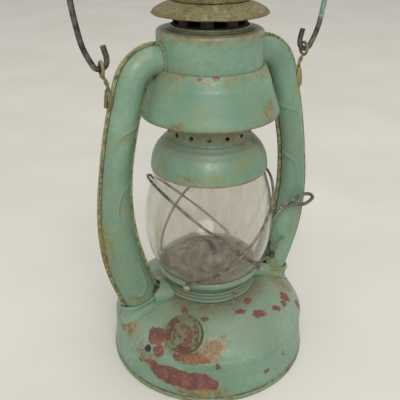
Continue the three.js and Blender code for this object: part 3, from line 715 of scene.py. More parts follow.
def bare_steel(name, light="6a6763", dark="35332f", rust=0.3, green_above=None, gloss=0.42):
    """Dark worn wire. green_above is (least x, least z) in mm, past which it keeps its green paint."""
    p = Paint(name)
    fine = p.noise(1.8, 5, 0.65)
    drawn = p.noise(5, 4, 0.6, offset=0.3)
    colour = p.mix(p.ramp(drawn, 0.35, 0.65), dark, light)
    colour = p.mix(p.math("MULTIPLY", p.ramp(fine, 0.5, 0.7), rust), colour, "6b4a33")
    metal = p.ramp(fine, 0.4, 0.65, 0.75, 0.35)
    rough = p.ramp(fine, 0.3, 0.7, gloss, gloss + 0.25)
    if green_above:
        part = p.node("ShaderNodeSeparateXYZ")
        p.join(p.place, part.inputs[0])
        least_x, least_z = green_above
        ragged = p.math("MULTIPLY", p.math("SUBTRACT", drawn, 0.5), 0.012)
        over = p.ramp(p.math("ADD", part.outputs["Z"], ragged), least_z * MM, (least_z + 1) * MM)
        across = p.math("ADD", part.outputs["X"], p.math("MULTIPLY", ragged, 9))
        right = p.ramp(across, least_x * MM, (least_x + 8) * MM)
        chip = p.ramp(p.noise(3, 5, 0.7, offset=0.5), 0.62, 0.58)
        kept = p.math("MULTIPLY", p.math("MULTIPLY", over, right), chip)
        colour = p.mix(kept, colour, p.mix(p.ramp(fine, 0.4, 0.7), "6f9c85", "5d7f6a"))
        metal = p.math("MULTIPLY", metal, p.math("SUBTRACT", 1.0, kept))
    return p.finish(colour, rough, [(fine, 0.07), (p.noise(0.6, 2), 0.02)], metallic=metal)


def dull_metal(name, light, dark, metallic=0.6, grime="4a4034", share=0.6):
    """Tin, brass or solder, dulled and grimy."""
    p = Paint(name)
    fine = p.noise(2.2, 5, 0.65)
    colour = p.mix(p.ramp(p.noise(13, 4, offset=0.8), 0.35, 0.65), light, dark)
    dirt = p.math("MULTIPLY", p.ramp(p.noise(4, 6, 0.7, offset=0.2), 0.45, 0.68), share)
    colour = p.mix(dirt, colour, grime)
    shine = p.math("MULTIPLY", p.math("SUBTRACT", 1.0, dirt), metallic)
    bumps = [(fine, 0.06), (p.noise(0.8, 2), 0.02)]
    return p.finish(colour, p.ramp(fine, 0.3, 0.7, 0.4, 0.68), bumps, metallic=shine)


def soot(name):
    p = Paint(name)
    fine = p.noise(2.0, 5, 0.7)
    colour = p.mix(p.ramp(p.noise(7, 5, 0.65), 0.42, 0.62), "1b1713", "3a2f25")
    colour = p.mix(p.ramp(fine, 0.58, 0.7), colour, "5a4a38")
    return p.finish(colour, p.ramp(fine, 0.3, 0.7, 0.65, 0.95), [(fine, 0.14)])


def cotton(name):
    """Plaited wick: a fine diagonal weave, charred at its top."""
    p = Paint(name)
    wave = p.node("ShaderNodeTexWave", wave_type="BANDS", bands_direction="DIAGONAL")
    wave.inputs["Scale"].default_value = 700
    wave.inputs["Distortion"].default_value = 0.6
    p.join(p.place, wave.inputs["Vector"])
    weave = wave.outputs["Fac"]
    colour = p.mix(weave, "b9ab89", "dacfb2")
    charred = p.ramp(p.math("ADD", p.along("Z"), p.math("MULTIPLY", p.noise(2, 3), 0.002)), 0.0895, 0.0915)
    colour = p.mix(charred, colour, "1d1a17")
    bumps = [(weave, 0.12), (p.noise(0.7, 3), 0.05)]
    return p.finish(colour, p.ramp(weave, 0, 1, 0.95, 0.8), bumps, specular=0.2)


def rubber(name):
    p = Paint(name)
    fine = p.noise(1.5, 4, 0.6)
    colour = p.mix(p.ramp(fine, 0.4, 0.7), "2b2724", "3d3833")
    return p.finish(colour, p.ramp(fine, 0.3, 0.7, 0.7, 0.9), [(fine, 0.05)])


def glass(name):
    """Old blown glass with a film of dust in streaks. Lamps shine through it."""
    p = Paint(name)
    p.join(linear("f4f3ee"), p.shader.inputs["Base Color"])
    p.shader.inputs["Transmission Weight"].default_value = 1.0
    p.shader.inputs["IOR"].default_value = 1.46
    streaks = p.noise(6, 4, 0.6, stretch=(1, 1, 0.16), offset=0.2)
    film = p.noise(17, 5, 0.6, offset=0.9)
    p.join(p.ramp(film, 0.35, 0.7, 0.02, 0.09), p.shader.inputs["Roughness"])
    ripple = p.node("ShaderNodeBump")
    ripple.inputs["Distance"].default_value = 0.25 * MM
    p.join(p.noise(24, 2, 0.5, stretch=(1, 1, 0.5)), ripple.inputs["Height"])
    p.join(ripple.outputs[0], p.shader.inputs["Normal"])
    dust = p.node("ShaderNodeBsdfPrincipled")
    p.join(p.mix(p.ramp(film, 0.4, 0.6), "cfcabb", "a9a292"), dust.inputs["Base Color"])
    dust.inputs["Roughness"].default_value = 0.9
    low = p.ramp(p.along("Z"), 0.108, 0.08, 0.0, 0.1)
    speck = p.ramp(p.noise(1.2, 3, 0.6, offset=3), 0.68, 0.76, 0.0, 0.35)
    share = p.math("ADD", p.math("MULTIPLY", p.ramp(streaks, 0.4, 0.75), 0.1), low)
    share = p.math("ADD", p.math("ADD", share, speck), 0.035, clamp=True)
    dusty = p.node("ShaderNodeMixShader")
    p.join(share, dusty.inputs[0])
    p.join(p.shader.outputs[0], dusty.inputs[1])
    p.join(dust.outputs[0], dusty.inputs[2])
    clear = p.node("ShaderNodeBsdfTransparent")
    clear.inputs["Color"].default_value = linear("eeede6")
    path = p.node("ShaderNodeLightPath")
    lit = p.node("ShaderNodeMixShader")
    p.join(path.outputs["Is Shadow Ray"], lit.inputs[0])
    p.join(dusty.outputs[0], lit.inputs[1])
    p.join(clear.outputs[0], lit.inputs[2])
    p.join(lit.outputs[0], p.output.inputs["Surface"])
    return p.material


# ---------------------------------------------------------------- shared outlines
def fount_line():
    """The fount's outside, from its mouth down to its foot, with two pressed rings."""
    dome = bezier((DECK_RADIUS, DECK_HEIGHT), (57, 57), (77.5, 46), SHOULDER, 48)
    side = straight([SHOULDER, (77.9, 28), (78.5, 25), (80.3, 3.7)], 1.6)
    line = [Vector((MOUTH_RADIUS, DECK_HEIGHT + 0.2)), Vector((35, DECK_HEIGHT + 0.15)), *dome, *side[1:]]
    return with_beads(line, [(50.6, 0.45, 0.9), (35.4, 0.35, 0.8), (8.5, 0.3, 1.0)])


FOUNT_LINE = fount_line()


def dome_height(radius):
    """Height of the fount's outside at a distance from its axis."""
    for a, b in zip(FOUNT_LINE, FOUNT_LINE[1:]):
        if a.x <= radius <= b.x:
            return a.y + (b.y - a.y) * (radius - a.x) / max(b.x - a.x, 1e-6)
    return DECK_HEIGHT if radius < MOUTH_RADIUS else 0.0


def fount_envelope(extra):
    line = [Vector((0, DECK_HEIGHT + 0.5))] + [p + Vector((extra, extra)) for p in FOUNT_LINE[::2]]
    return revolve([*line, Vector((0, 0))], 128)


def skirt_line():
    upper = [(37.6, 239.9), (39.2, 239.5), (40.8, 236.6), (43.9, 228)]
    points = [*upper, (48.3, 214.5), (50.5, 207.6), (50.1, 205.8)]
    return with_beads(smooth_line(points, 7), [(229.5, 0.25, 1.0)])


def canopy_envelope(extra):
    radius = DRUM_RADIUS + extra
    line = [Vector((0, DRUM_TOP)), Vector((radius, DRUM_TOP)), Vector((radius, 240))]
    line += [p + Vector((extra, extra)) for p in skirt_line()]
    return revolve([*line, Vector((0, 205))], 128)


class Route:
    """A line that can be asked for its point and direction at a share of its length. reach is how
    many of its points to either side give the direction."""

    def __init__(self, line, reach=1):
        self.line = line
        self.reach = reach
        self.far = [0.0]
        for a, b in zip(line, line[1:]):
            self.far.append(self.far[-1] + (b - a).length)

    def at(self, share):
        want = min(max(share, 0.0), 1.0) * self.far[-1]
        i = next((k for k in range(1, len(self.far)) if self.far[k] >= want), len(self.far) - 1)
        span = self.far[i] - self.far[i - 1]
        point = self.line[i - 1].lerp(self.line[i], (want - self.far[i - 1]) / span)
        ahead = self.line[min(i + self.reach, len(self.line) - 1)]
        return point, (ahead - self.line[max(i - 1 - self.reach, 0)]).normalized()


TUBE_POINTS = [(30, 244), (44, 245.5), (55, 238), (62.7, 217), (72.6, 170), (75.2, 130), (71, 95)]
TUBE_POINTS += [(57.6, 51.3), (53, 36)]
TUBE = Route(smooth_line([(x, 0, z) for x, z in TUBE_POINTS], 24), 9)


def smoothstep(value, low, high):
    t = min(max((value - low) / (high - low), 0.0), 1.0)
    return t * t * (3 - 2 * t)


def tube_half_width(u):
    return 10.2 + 3.4 * smoothstep(u, 0.38, 0.8)


def tube_half_depth(u):
    return 8.9 + 1.7 * smoothstep(u, 0.5, 0.9)


def on_tube(u, out, deep):
    """The point out from the tube's middle line in the frame's plane, and deep along Y."""
    middle, along = TUBE.at(u)
    return Vector((middle.x - along.z * out, deep, middle.z + along.x * out))


# ---------------------------------------------------------------- fount
def filler_matrix():
    turned = Matrix.Rotation(FILLER_AZIMUTH, 4, "Z") @ Matrix.Rotation(FILLER_LEAN, 4, "Y")
    foot = (FILLER_REACH * math.cos(FILLER_AZIMUTH), FILLER_REACH * math.sin(FILLER_AZIMUTH), FILLER_HEIGHT)
    return Matrix.Translation(foot) @ turned


FILLER = filler_matrix()


def fount_shell():
    hole = moved(drill(FILLER_BORE, (0, 0, -12), (0, 0, 15), 48), FILLER)
    return dented(carved(revolve(sheet(FOUNT_LINE, SHEET), 160), hole), 0.12, 26)


def base_pan():
    rim = smooth_line([(79.2, 0.0), (80.3, 0.05), (80.9, 0.9), (80.9, 2.4), (80.3, 3.35), (79.1, 3.4)], 4)
    rim = [(p.x, max(p.y, 0.0)) for p in rim]
    under = [(0, 4.4), (60, 4.4), (75.6, 4.4), (77.4, 3.2), (78.6, 0.2)]
    return revolve([*under, *rim, (78.2, 5.6), (60, 5.6), (0, 5.6)], 160)


def drape(turn, radius):
    """Height along the filler's own axis where the dome is met."""
    low, high = -16.0, 6.0
    for _ in range(26):
        middle = (low + high) / 2
        p = FILLER @ Vector((radius * math.cos(turn), radius * math.sin(turn), middle))
        if p.z > dome_height(math.hypot(p.x, p.y)):
            high = middle
        else:
            low = middle
    return (low + high) / 2


def filler_neck():
    """A flange that follows the dome, and a short neck on it."""
    flange = [(16, 0.1), (16.1, 0.6), (15.6, 1.0), (14.4, 1.2), (13.2, 1.4), (12.4, 2.0), (11.9, 3.2)]
    rings = []
    for k in range(72):
        turn = 2 * math.pi * k / 72
        across = Vector((math.cos(turn), math.sin(turn), 0))
        ring = [across * r + Vector((0, 0, drape(turn, r) + h)) for r, h in flange]
        mouth = ((11.9, 5.4), (11.9, 8.1), (11.5, NECK_TOP), (10.6, NECK_TOP), (FILLER_BORE, 8.3))
        ring += [across * r + Vector((0, 0, z)) for r, z in mouth]
        ring += [across * r + Vector((0, 0, drape(turn, r) + 0.1)) for r in (FILLER_BORE, 12.2, 14.2)]
        rings.append([FILLER @ p for p in ring])
    return loft(rings, closed=True)


def filler_cap():
    dish = [(5, 12.75), (8.6, 12.65), (9.9, 12.2), (10.6, 11.8)]
    bead = [(11.3, 12.1), (12.2, 12.9), (13.0, 12.75), (13.65, 12.0), (CAP_RADIUS, 10.8)]
    top = smooth_line([*dish, *bead], 5)
    inside = 12.6
    groove = [(CAP_RADIUS, 8.6), (13.65, 8.2), (CAP_RADIUS, 7.8)]
    skirt = [(CAP_RADIUS, 4.3), (13.55, 3.75), (13.1, 3.6), (inside, 3.8)]
    low = [*groove, *skirt, (inside, CAP_CEILING), (0, CAP_CEILING)]
    return moved(revolve([(0, 12.7), *top, *low], 96), FILLER)


# ---------------------------------------------------------------- burner
def raised(profile):
    return [(r, z + DECK_HEIGHT) for r, z in profile]


def burner_collar():
    bead = smooth_line([(36.6, 0.8), (37.6, 1.1), (37.7, 1.9), (36.8, 2.5), (35.2, 2.9)], 4)
    top = smooth_line([(35.1, 3.3), (36.0, 3.7), (36.2, 4.4), (35.2, 5.0)], 4)
    return revolve(raised([(30.5, 0.8), *bead, *top, (30.5, 5)]), 112)


def burner_body():
    bead = smooth_line([(34.2, 5.35), (34.9, 5.8), (34.9, 6.8), (34.2, 7.3), (32.4, 7.5)], 4)
    cup = [(32, 7.9), (32, 13.9), (31.8, 14.2), (30.9, 14.2), (30.8, 13.9), (30.8, 6.7), (0, 6.7)]
    blank = revolve(raised([(0, 5.35), *bead, *cup]), 112)
    wick_hole = block((-3.1, -9.3, DECK_HEIGHT), (3.1, 9.3, DECK_HEIGHT + 11))
    spindle_hole = drill(1.9, (5.2, 26, DECK_HEIGHT + 10.3), (5.2, 38, DECK_HEIGHT + 10.3))
    return carved(blank, wick_hole, spindle_hole)


def burner_cone():
    outside = bezier((0, 35.4), (10, 34.8), (18.8, 26), (19.2, 16.6), 18)
    inside = bezier((18.2, 16.6), (17.8, 25), (9.4, 33.8), (0, 34.4), 18)
    flange = ((19.6, 15.6), (24, 15.45), (31.3, 15.4), (31.6, 15.1), (31.3, 14.6), (24, 14.6), (18.4, 14.6))
    foot = [Vector(p) for p in flange]
    slot = block((-2.6, -12.6, DECK_HEIGHT + 25), (2.6, 12.6, DECK_HEIGHT + 48))
    return carved(revolve(raised([*outside, *foot, *inside]), 96), slot)


def wick():
    """A flat plaited ribbon, a little wavy, with a burnt uneven top."""
    bottom, top, half_x, half_y = DECK_HEIGHT - 46, DECK_HEIGHT + 30.6, 1.1, 7.2
    rings = []
    for k in range(91):
        share = k / 90
        z = bottom + (top - bottom) * share
        ring = []
        for i in range(32):
            turn = 2 * math.pi * i / 32
            c, s = math.cos(turn), math.sin(turn)
            x = half_x * math.copysign(abs(c) ** 0.5, c) * (0.93 + 0.07 * math.sin(z * 3.1 + 3 * s))
            y = (half_y - 0.1 + 0.1 * math.sin(z * 2.3)) * math.copysign(abs(s) ** 0.35, s)
            fray = 0.5 * abs(noise.noise(Vector((x * 2, y * 1.4, 7)))) if share > 0.985 else 0.0
            ring.append((x, y, z - fray))
        rings.append(ring)
    return loft(rings)


KNOB_RINGS = [  # (place along Y, share of the radius, share of the milling)
    (44.3, 0.88, 0.4), (44.7, 0.98, 1), (45.2, 1, 1), (46.4, 1, 1), (46.9, 0.98, 1),
    (47.3, 0.9, 0.4), (47.4, 0.42, 0), (48.6, 0.39, 0), (48.9, 0.33, 0),
]


def wick_knob():
    """A thin milled disc on a hub."""
    lobes, spindle = 14, (5.2, DECK_HEIGHT + 10.3)
    rings = []
    for y, scale, depth in KNOB_RINGS:
        ring = []
        for i in range(140):
            turn = 2 * math.pi * i / 140
            r = (6.75 + 0.32 * depth * math.cos(lobes * turn)) * scale
            ring.append((spindle[0] + r * math.cos(turn), y, spindle[1] + r * math.sin(turn)))
        rings.append(ring)
    return loft(rings)


# ---------------------------------------------------------------- globe carriage
def globe_plate():
    curl = [(39.3, 75.95), (40.3, 75.5), (41.3, 76.2), (PLATE_RIM, 77.6)]
    rim = smooth_line([*curl, (41.0, 79.0), (40.3, 79.9), (39.6, 79.9), (39.2, 79.1)], 4)
    under = [(PLATE_BORE, PLATE_HEIGHT), (28, PLATE_HEIGHT), (38.6, PLATE_HEIGHT)]
    over = [(39.1, 77.9), (38.7, 77.5), (28, 77.5), (PLATE_BORE, 77.5)]
    plate = revolve([*under, *rim, *over], 128)
    vents = []
    for k in range(10):
        turn = 2 * math.pi * k / 10
        x, y = 29 * math.cos(turn), 29 * math.sin(turn)
        vents.append(drill(2.6, (x, y, 74), (x, y, 80)))
    return dented(carved(plate, together(*vents)), 0.12, 12, 3)


def globe():
    outer = smooth_line([(40.6, 168.5), (41.6, 163), (47.6, 142), (50.3, 117), (47, 94), (38, 78)], 12)
    return dented(revolve(sheet(outer, GLOBE_WALL, 6), 144), 0.16, 34, 5)


GUARD_TILT = math.radians(43.5)
GUARD_CROSSING = 112.5
GUARD_LENGTH = 58.0
GUARD_SHIFT = 5.0
GUARD_END = 148
GUARD_HALF_WIDTH = {"left": 53.5, "right": 56.2}


def guard_point(degrees, side):
    """A point on a guard hoop. The left hoop is high on the left, and its ends are low on the right."""
    turn = math.radians(degrees)
    leans = -1 if side == "left" else 1
    up = GUARD_SHIFT + GUARD_LENGTH * math.cos(turn)
    return Vector((
        leans * math.cos(GUARD_TILT) * up,
        GUARD_HALF_WIDTH[side] * math.sin(turn),
        GUARD_CROSSING + math.sin(GUARD_TILT) * up,
    ))


def guard_hoop(side):
    line = [guard_point(-GUARD_END + 2 * GUARD_END * k / 110, side) for k in range(111)]
    line = [p + noise.noise_vector(p / 30 + Vector((0, 0, 9))) * 0.35 for p in line]
    return sweep(line, GUARD_WIRE - 0.15, 12)


def guard_clip(side, end):
    """A tin tab bent over the end of a hoop, with a drop of solder on it."""
    tip = guard_point(end * GUARD_END, side)
    turn = math.atan2(tip.y, tip.x)
    middle = PLATE_RIM + GAP + 2.5
    rings = []
    for z, r in ((76.1, 1.6), (76.4, 2.2), (78.0, 2.45), (79.2, 2.3), (79.9, 1.7), (80.1, 0.8)):
        ring = []
        for k in range(24):
            a = 2 * math.pi * k / 24
            local = Vector((r * math.cos(a) * 0.92, r * math.sin(a) * 1.15, z))
            ring.append(Matrix.Rotation(turn, 4, "Z") @ (local + Vector((middle, 0, 0))))
        rings.append(ring)
    return dented(loft(rings), 0.35, 2.4, 11)


# ---------------------------------------------------------------- globe lift
LEVER_PLANE = -14.5
LEVER_PIVOT = (51.0, 78.0)


def lift_lever():
    """One wire: a toe under the plate, an eye on the pin, a shank, and a long loop bent back on it."""
    def in_plane(points):
        return [(x, LEVER_PLANE, z) for x, z in points]

    toe = [(37.6, 73.3), (41, 73.5), (44, 74.2), (48.2, 76.2)]
    up = [(50.2, 80.9), (49.6, 88), (49.6, 98), (50.6, 109), (54.4, 115.4), (62.4, 120.4), (69.6, 121.6)]
    out = [(74, 120.0), (80, 118.9), (85.6, 120.6), (88.2, 123.6)]
    loop = [*out, (85.6, 126.8), (80, 128.2), (74, 127.0), (69.2, 124.6)]
    back = [(63.4, 123.2), (58.6, 121.2), (56.9, 119.9)]
    x, z = LEVER_PIVOT
    eye = [(x + 2.9 * math.cos(t), z + 2.9 * math.sin(t)) for t in (2 * math.pi * k / 40 for k in range(40))]
    wire = sweep(smooth_line(in_plane(up + loop + back), 9), LEVER_WIRE * 0.93, 12)
    foot = sweep(smooth_line(in_plane(toe), 8), LEVER_WIRE * 0.93, 12)
    ring = sweep(in_plane(eye), LEVER_WIRE * 0.93, 12, closed=True)
    return together(wire, foot, ring)


# ---------------------------------------------------------------- side tubes
PRESSED_LINES = [  # (height, share of the half width) points of the ridges pressed into a tube's face
    [(206, -0.95), (202.5, -0.45), (199, 0.1), (193, 0.42), (181, 0.52), (150, 0.5), (112, 0.56), (92, 0.6)],
    [(165, -0.98), (160.5, -0.62), (156.5, -0.25), (149, -0.05), (136, 0.02)],
    [(92, -0.62), (76, -0.6), (69, -0.4), (66.5, 0.0), (69, 0.4), (76, 0.58), (92, 0.6)],
]
LINES_IN_MM = [smooth_line([(z, 12 * share) for z, share in points], 6) for points in PRESSED_LINES]


def pressed_rise(z, across):
    """How proud the pressed ridges stand at a height and a distance from the tube's middle line."""
    here = Vector((z, across))
    nearest = 9.0
    for line in LINES_IN_MM:
        for a, b in zip(line, line[1:]):
            if abs(a.x - z) > 6:
                continue
            span = b - a
            share = min(max((here - a).dot(span) / span.length_squared, 0.0), 1.0)
            nearest = min(nearest, (a + span * share - here).length)
    return 0.7 * math.exp(-((nearest / 0.85) ** 2))


def tube_half():
    """The half of the +X tube that faces -Y: a trough with a seam flange along both edges."""
    rings, steps, seam, flange, count = [], 40, 0.2, 1.0, 250
    for k in range(count + 1):
        u = k / count
        width, depth = tube_half_width(u), tube_half_depth(u)
        edge = width * SEAM_REACH
        wall = SHEET
        near, far = -seam, -seam - flange
        ring = [(edge - 0.25, near), (edge, near - 0.35), (edge, far + 0.3), (edge - 0.3, far)]
        first = math.asin((seam + flange) / depth)
        for i in range(steps + 1):
            turn = first + (math.pi - 2 * first) * i / steps
            share = math.cos(turn)
            rise = pressed_rise(TUBE.at(u)[0].z, 12 * share)
            ring.append(((width + rise) * share, -(depth + rise) * math.sin(turn)))
        ring += [(-edge + 0.3, far), (-edge, far + 0.3), (-edge, near - 0.35), (-edge + 0.25, near)]
        inner = math.asin(seam / (depth - wall))
        for i in range(steps + 1):
            turn = math.pi - inner - (math.pi - 2 * inner) * i / steps
            ring.append(((width - wall) * math.cos(turn), -(depth - wall) * math.sin(turn)))
        rings.append([on_tube(u, out, deep) for out, deep in ring])
    door = block((34, -7.5, 45), (52, 7.5, 66.5))
    return carved(loft(rings), fount_envelope(GAP), canopy_envelope(GAP), door)


FOOT_TOP = 0.9  # where the foot collar begins, as a share of the tube's length


def foot_point(u, turn, clearance):
    out = (tube_half_width(u) * (SEAM_REACH + 0.02) + clearance) * math.cos(turn)
    return on_tube(u, out, (tube_half_depth(u) + clearance) * math.sin(turn))


def hugging_point(u, turn, clearance):
    """Close round the tube and its two seam flanges."""
    spread = 1.0 + (SEAM_REACH - 0.98) * abs(math.cos(turn)) ** 12
    out = (tube_half_width(u) * spread + clearance) * math.cos(turn)
    return on_tube(u, out, (tube_half_depth(u) + clearance) * math.sin(turn))


def above_dome(p, height):
    return Vector((p.x, p.y, dome_height(math.hypot(p.x, p.y)) + height))


def tube_foot():
    """A saddle collar: a rolled lip round the tube, a wall that flares, and a flange on the dome."""
    rings = []
    for k in range(96):
        turn = 2 * math.pi * k / 96
        end = FOOT_TOP
        while end < 0.999:
            p = foot_point(end, turn, 1.3)
            if p.z < dome_height(math.hypot(p.x, p.y)) + 0.4:
                break
            end += 0.0015
        ring = [hugging_point(FOOT_TOP, turn, 0.25), hugging_point(FOOT_TOP - 0.004, turn, 0.9)]
        ring += [hugging_point(FOOT_TOP - 0.002, turn, 1.8), foot_point(FOOT_TOP + 0.003, turn, 1.7)]
        ring += [foot_point(FOOT_TOP + 0.006, turn, 1.3)]
        start = FOOT_TOP + 0.008
        for i in range(8):
            u = start + (end - start) * i / 8
            near = max(0.0, 1 - (end - u) * TUBE.far[-1] / 4.0)
            ring.append(foot_point(u, turn, 1.3 + 1.5 * near * near))
        for clearance, height in ((3.3, 1.0), (4.4, 0.9), (5.0, 0.75), (5.1, 0.3), (3.4, 0.3), (GAP, 0.3)):
            ring.append(above_dome(foot_point(end, turn, clearance), height))
        ring.append(hugging_point(FOOT_TOP + 0.006, turn, 0.25))
        rings.append(ring)
    return loft(rings, closed=True)


def air_duct():
    """An arched cover over the air's way from the tube to the burner."""
    start, end, middle = 36.0, 52.0, 56.5
    half_width, rise = 14.0, 11.5

    def tunnel(wall, overrun):
        rings = []
        for k in range(17):
            x = start - overrun + (end - start + 2 * overrun) * k / 16
            ring = []
            for i in range(72):
                turn = 2 * math.pi * i / 72
                c, s = math.cos(turn), math.sin(turn)
                y = (half_width - wall) * math.copysign(abs(c) ** 0.8, c)
                ring.append((x, y, middle + (rise - wall) * math.copysign(abs(s) ** 0.8, s)))
            rings.append(ring)
        return loft(rings)

    collar = drill(37.9, (0, 0, 40), (0, 0, 90), 128)
    turns = [2 * math.pi * i / 96 for i in range(96)]
    foot = loft([[foot_point(0.86 + 0.14 * k / 12, turn, 2.2) for turn in turns] for k in range(13)])
    return carved(tunnel(0, 0), tunnel(THIN_SHEET, 1), foot, collar, fount_envelope(GAP))


# ---------------------------------------------------------------- canopy
def canopy_drum():
    top = smooth_line([(27, 264.3), (33.6, 264.25), (35.9, 263.7), (37.0, 262.5), (37.2, 260.9)], 5)
    line = with_beads(straight([*top[:-1], top[-1], (37.2, 232.5)], 1.4), [(259.6, 0.0, 1.0)])
    air = drill(8.4, (-60, 0, TUBE_ENTRY), (60, 0, TUBE_ENTRY), 40)
    return carved(revolve(sheet(line, SHEET), 144), air)


def canopy_skirt():
    return dented(revolve(sheet(skirt_line(), SHEET), 144), 0.14, 24, 2)


def canopy_collar():
    flange = [Vector(p) for p in ((26.2, 264.6), (29.7, 264.6), (30.0, 264.8), (29.9, 265.1), (28.4, 265.3))]
    lip = smooth_line([(27.6, 265.5), (27.4, 266.4), (26.9, 266.9), (26.3, 266.6)], 4)
    return revolve([*flange, *lip, (26.2, 266.0)], 112)


def tube_socket():
    """The soldered ring round the tube where it enters the drum, on the +X side."""
    line = []
    for k in range(72):
        turn = 2 * math.pi * k / 72
        y, z = 10.1 * math.sin(turn), TUBE_ENTRY + 12.0 * math.cos(turn)
        line.append((math.sqrt((DRUM_RADIUS + 0.5) ** 2 - y * y), y, z))
    return sweep(line, 0.85, 10, closed=True)


# ---------------------------------------------------------------- chimney
def bell():
    shoulder = bezier((30.8, 190.4), (31.6, 184.6), (43, 183), (43.9, 165.6), 30)
    neck = smooth_line([(25.9, 199.8), (29.4, 199.7), (30.5, 199.3), (30.8, 198.3)], 4)
    rim = smooth_line([(43.9, 165.6), (44.0, 164.9), (43.95, 163.7)], 4)
    line = straight([*neck, *shoulder, *rim[1:]], 1.4)
    line = with_beads(line, [(187.4, 0.25, 0.8), (184.2, 0.22, 0.7), (180.4, 0.18, 0.8)])
    holes = []
    for k in range(15):
        turn = math.radians(4.7 + 24 * k)
        x, y = math.cos(turn), math.sin(turn)
        holes.append(drill(1.7, (27 * x, 27 * y, 193.8), (34 * x, 34 * y, 193.8)))
    return dented(carved(revolve(sheet(line, THIN_SHEET), 150), together(*holes)), 0.1, 20, 4)


def flue():
    inside, outside, bottom, top = FLUE_RADIUS - THIN_SHEET, FLUE_RADIUS, 196.4, 280.2
    wall = straight([(outside, bottom), (outside, top)], 4) + straight([(inside, top), (inside, bottom)], 4)
    windows = []
    for k in range(9):
        turned = Matrix.Rotation(math.radians(40 * (k + 0.5)), 4, "Z")
        windows.append(moved(block((FLUE_RADIUS - 3, -4.5, 267.7), (FLUE_RADIUS + 3, 4.5, 273.1)), turned))
    return carved(revolve(wall, 126), together(*windows))


def cap_brim():
    line = smooth_line([(21.5, 283), (27, 281.6), (33.4, 279.2), (38.4, 276.4), (39.9, 274.4)], 7)
    return dented(revolve(sheet(line, THIN_SHEET), 144), 0.25, 9, 7)


def cap_crown():
    dome = with_beads(bezier((0, 293.4), (14, 293.2), (25.4, 291.4), (26.3, 285), 24), [(290.2, 0.3, 0.8)])
    inside = bezier((25.3, 285), (24.4, 290.4), (13.6, 292.2), (0, 292.4), 24)
    edge = [Vector(p) for p in ((26.3, 284), (26.2, 282.7), (25.8, 282.5), (25.3, 282.9), (25.3, 284))]
    return dented(revolve([*dome, *edge, *inside], 128), 0.12, 10, 8)


def cap_loop():
    half = [(8, 293.6), (8.2, 298), (5.8, 303.2)]
    points = [(-x, 0, z) for x, z in half] + [(0, 0, 305.4)] + [(x, 0, z) for x, z in reversed(half)]
    line = smooth_line(points, 10)
    return sweep(line, 1.25, 12)


# ---------------------------------------------------------------- ears and bail
def ear():
    """On the +X tube: an eye across X, a twisted stem, and a pad folded over the seam."""
    x, z = EAR_REACH, EAR_HEIGHT
    turns = [2 * math.pi * k / 44 for k in range(44)]
    across = Vector((1, 0, 0))
    circle = [(x, 4.5 * math.cos(t), z + 4.5 * math.sin(t)) for t in turns]
    eye = sweep(circle, 1.12, 10, closed=True, side=across)
    strands = []
    for phase in (0, math.pi):
        line = []
        for k in range(41):
            share = k / 40
            middle = smooth_at([(x, 0, z - 4.6), (75.3, 0, 235.5), (74.0, 0, 230), (74.6, 0, 226)], share)
            twist = phase + 2.6 * math.pi * share
            spread = 0.75
            line.append(middle + Vector((spread * math.cos(twist), spread * math.sin(twist), 0)))
        strands.append(sweep(line, 0.85, 10))
    folds = []
    for side in (-1, 1):
        points = ((74.8, 1.2, 229.0), (73.6, 2.2, 225), (73.6, 2.8, 220), (75.2, 2.3, 216))
        strap = smooth_line([(x, y * side, z) for x, y, z in points], 7)
        folds.append(sweep(strap, lambda s: 2.1 - 0.7 * abs(2 * s - 1), 14, squash=0.4, side=across))
    pad = smooth_line([(75.4, 0, 227.6), (75.9, 0, 223.0), (76.8, 0, 217.4)], 8)
    folds.append(sweep(pad, lambda s: 2.5 - 0.5 * abs(2 * s - 1), 16, squash=0.42))
    return together(eye, *strands, *folds)


def smooth_at(points, share):
    return Route(smooth_line(points, 8)).at(share)[0]


def bail_half():
    lean = math.radians(12)
    hook = 5.2
    middle = (EAR_REACH + hook * math.sin(lean), EAR_HEIGHT + hook * math.cos(lean))

    def hook_point(degrees):
        turn = math.radians(degrees) - lean
        return (middle[0] + hook * math.cos(turn), 0, middle[1] + hook * math.sin(turn))

    inner = hook_point(180)
    line = [(inner[0] + 1.9, 0, inner[2] + 8.4), inner] + [hook_point(d) for d in (225, 270, 315, 360)]
    line += [(EAR_REACH + 10.6, 0, 257), (90.6, 0, 268)]
    for k in range(5):
        turn = math.pi * k / 10
        line.append((BAIL_HALF_WIDTH * math.cos(turn), 0, BAIL_SHOULDER + BAIL_RISE * math.sin(turn)))
    return line


def bail():
    right = bail_half()
    left = [(-x, y, z) for x, y, z in reversed(right)]
    line = smooth_line([*right, (0, 0, BAIL_SHOULDER + BAIL_RISE), *left], 9)
    return sweep(line, BAIL_WIRE, 14)


# ---------------------------------------------------------------- materials in use
TUBE_STAINS = [((-88, 0, 112), (12, 20, 34)), ((-66, 0, 64), (8, 16, 9)), ((86, 0, 90), (8, 14, 18))]
SKIRT_STAINS = [((27, -42, 213), (10, 10, 13)), ((40, -28, 226), (7, 7, 9)), ((-36, -30, 208), (9, 9, 4))]
SKIRT_FLAKES = [
    ((-13, -36.5, 239), (3, 2.4, 1.5)),
    ((-22, -32, 238), (2, 2, 1)),
    ((34, -35, 207), (2, 2, 1.4)),
]
BELL_STAINS = [((12, -30, 190), (12, 12, 5)), ((30, -24, 187), (9, 9, 8)), ((-30, -30, 168), (16, 10, 4))]
FOOT_STAINS = [((-78, -14, 60), (14, 14, 8)), ((-60, -24, 62), (10, 10, 6))]
FOOT_FLAKES = [((-71, -18, 64), (7, 5, 2)), ((-80, -8, 60), (3, 3, 2))]

